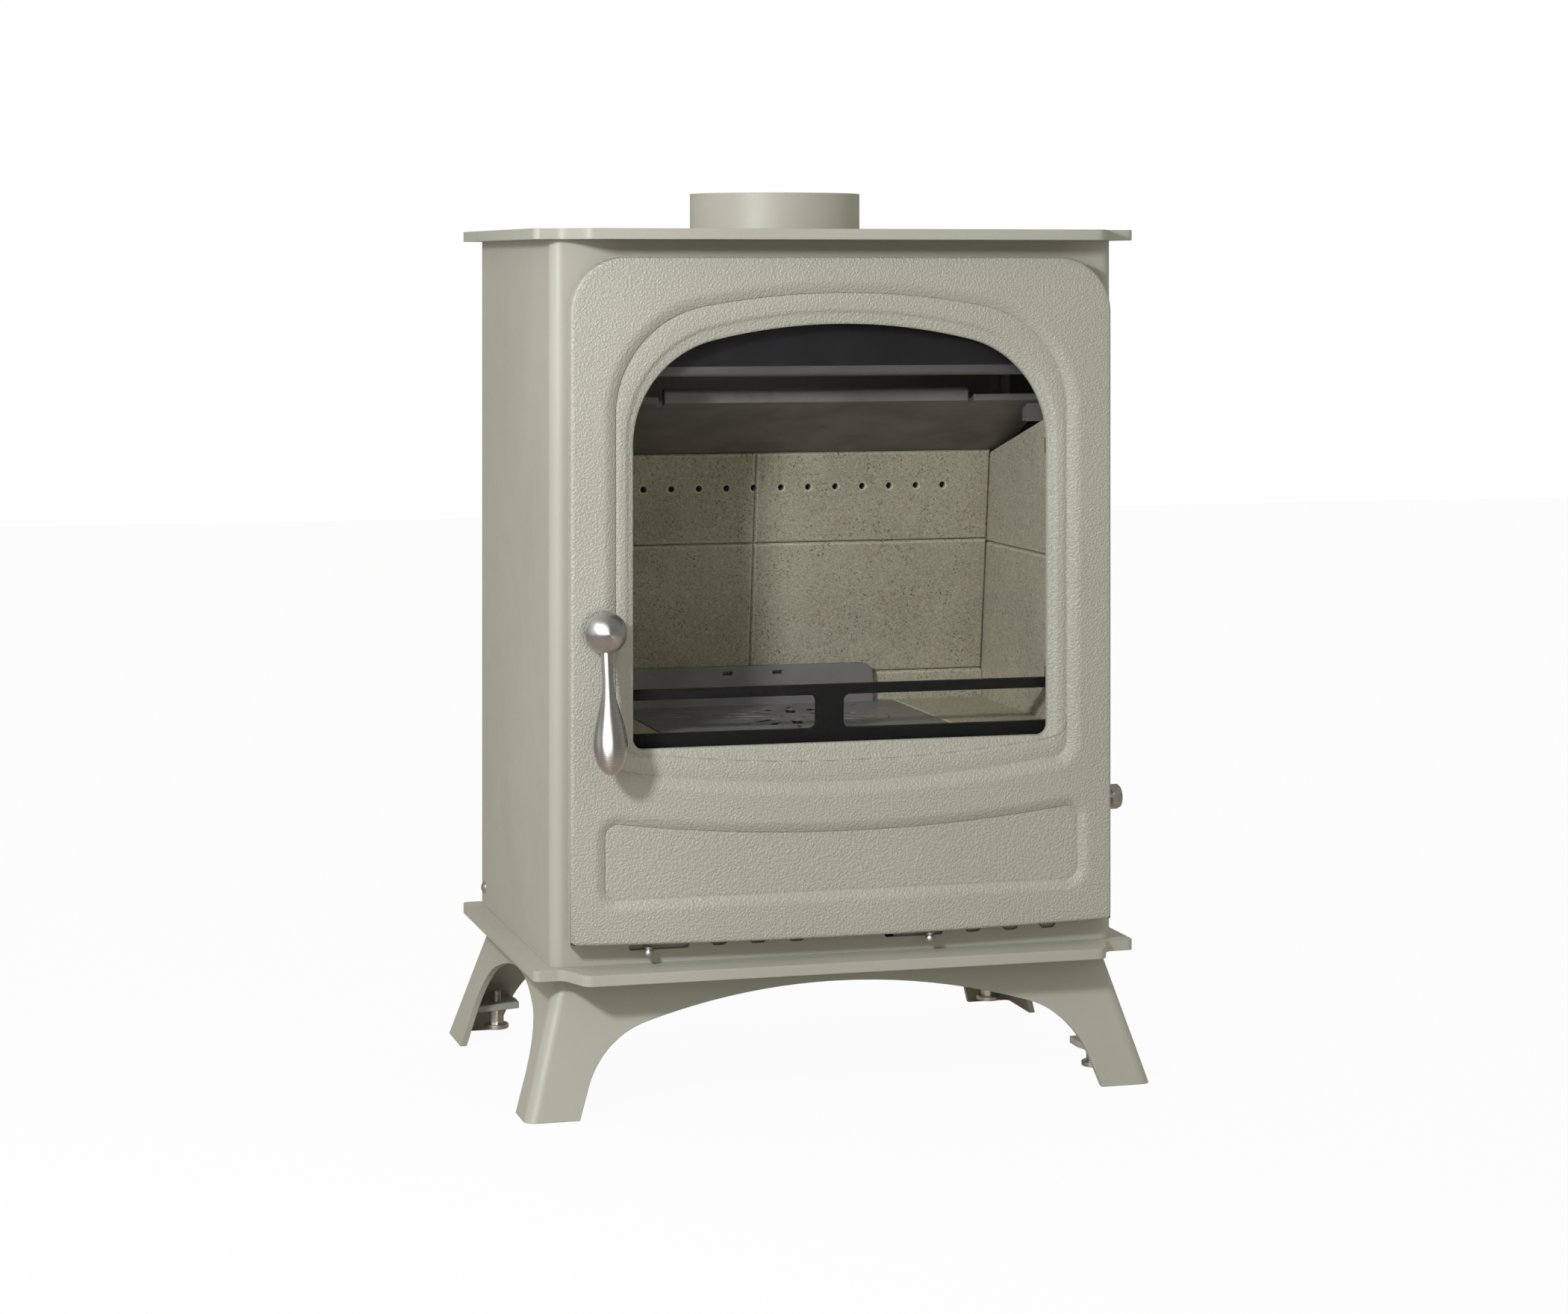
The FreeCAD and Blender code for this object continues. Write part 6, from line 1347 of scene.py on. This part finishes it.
@dataclass
class Studio:
    """Pale floor, soft surroundings, two lamps and the camera of the photograph.

    The surroundings hold a bright patch, the softbox, that only mirrored rays see. The floor
    and the surroundings look white to the eye, and darker to mirrored rays.
    """

    camera_place: Triple = (-0.7449, -2.6946, 0.6243)
    yaw: float = 15.388
    lens: float = 81.13
    shift: float = -0.2485
    sensor: float = 36.0
    ambient: float = 0.86
    ambient_front: float = 0.6
    ambient_tint: Triple = (1.0, 0.98, 0.91)
    floor_half: float = 6.0
    floor_gap: float = 0.0002
    floor_tones: tuple[Triple, Triple] = ((0.52, 0.51, 0.49), (0.54, 0.53, 0.51))
    floor_share: float = 0.96
    # Painted reflection: the floor glows these colours to mirrored rays only, warm brown near the
    # stove and dim grey far off, over this share of its shading.
    mirrored: Triple = (0.34, 0.24, 0.18)
    mirrored_far: Triple = (0.18, 0.17, 0.165)
    floor_mirrored: float = 0.85
    world_mirrored: float = 0.68
    softbox: float = 2.6
    softbox_way: Triple = (-0.5, -0.8, 0.3)
    softbox_edge: tuple[float, float] = (0.76, 0.94)
    lamps: tuple[Lamp, ...] = (
        Lamp("key", (-0.89, -1.03, 0.89), (-0.1, -0.16, 0.34), 0.13, 12.8, (0.98, 1.0, 1.08)),
        Lamp("side", (-2.6, 0.1, 0.5), (-0.2, 0.0, 0.3), 1.4, 1.7),
    )

    def floor(self) -> None:
        """A wide pale floor that keeps the shadow and looks near white to the camera; to mirrored
        rays it glows a painted reflection, warm brown near the stove and dim grey farther off.
        """
        size, level = self.floor_half, CAD_BOX[0][2] - self.floor_gap
        mesh = bpy.data.meshes.new("floor")
        mesh.from_pydata([(-size, -size, level), (size, -size, level), (size, size, level),
                          (-size, size, level)], [], [(0, 1, 2, 3)])
        material, tree, shader, place = start("pale_floor")
        shade = mix(tree, noise(tree, place, 3.0, 2.0), *self.floor_tones)
        feed(tree, shader, {"Base Color": shade, "Roughness": 0.8})
        seen, mirrored = light_paths(tree)
        near = add(tree, "VectorMath", {0: place}, operation="LENGTH").outputs["Value"]
        tint = mix(tree, ramp(tree, near, 0.3, 1.8), self.mirrored, self.mirrored_far)
        dim, glow = add(tree, "Emission", {"Color": tint}), add(tree, "Emission", {})
        last = shader.outputs["BSDF"]
        for light, ray, share in ((dim, mirrored, self.floor_mirrored),
                                  (glow, seen, self.floor_share)):
            last = layer(tree, sums(tree, "MULTIPLY", ray, share), last,
                         light.outputs["Emission"])
        feed(tree, tree.nodes["Material Output"], {"Surface": last})
        mesh.materials.append(material)
        thing = bpy.data.objects.new("floor", mesh)
        bpy.context.scene.collection.objects.link(thing)

    def world(self) -> None:
        """White to the camera, soft grey with a patch for mirrored rays to everything else."""
        world = bpy.data.worlds.new("studio")
        bpy.context.scene.world = world
        world.use_nodes = True
        tree = world.node_tree
        seen, mirrored = light_paths(tree)
        place = add(tree, "TexCoord", {}).outputs["Generated"]
        across = add(tree, "SeparateXYZ", {0: place}).outputs["Y"]
        soft = ramp(tree, across, -0.6, 0.1, self.ambient_front, self.ambient)
        dimmed = sums(tree, "MULTIPLY", mirrored, self.world_mirrored)
        softer = sums(tree, "MULTIPLY", soft, sums(tree, "SUBTRACT", 1.0, dimmed))
        facing = add(tree, "VectorMath", {0: place, 1: Vector(self.softbox_way).normalized()},
                     operation="DOT_PRODUCT").outputs["Value"]
        box = ramp(tree, facing, *self.softbox_edge, 0.0, self.softbox)
        softer = sums(tree, "ADD", softer, sums(tree, "MULTIPLY", box, mirrored))
        unseen = sums(tree, "MULTIPLY", softer, sums(tree, "SUBTRACT", 1.0, seen))
        feed(tree, tree.nodes["Background"], {
            "Color": mix(tree, seen, self.ambient_tint, (1.0, 1.0, 1.0)),
            "Strength": sums(tree, "ADD", unseen, seen)})

    def camera(self) -> None:
        """A level camera at the photograph's place and angle."""
        data = bpy.data.cameras.new("camera")
        data.sensor_width = self.sensor
        data.lens = self.lens
        data.shift_y = self.shift
        eye = bpy.data.objects.new("camera", data)
        eye.location = self.camera_place
        eye.rotation_euler = (QUARTER, 0.0, -math.radians(self.yaw))
        bpy.context.scene.collection.objects.link(eye)
        bpy.context.scene.camera = eye

    def build(self) -> None:
        """Set the view transform and put everything in place."""
        bpy.context.scene.view_settings.view_transform = "Standard"
        self.floor()
        self.world()
        for lamp in self.lamps:
            lamp.build()
        self.camera()
        log.info("studio ready")


def main() -> None:
    """Build the stove's dressed pieces in order, then the studio."""
    logging.basicConfig(level=logging.INFO, format="%(name)s %(message)s")
    Dressing().build()
    DoorCasting().build()
    DoorHandle().build()
    for place in ("front_left", "front_right", "rear_left", "rear_right"):
        Foot(place).build()
    AirKnob("primary_knob", Body.PRIMARY).build()
    AirKnob("airwash_knob", Body.AIRWASH).build()
    RodHexagon().build()
    DoorRope().build()
    Studio().build()


if __name__ == "__main__":
    main()
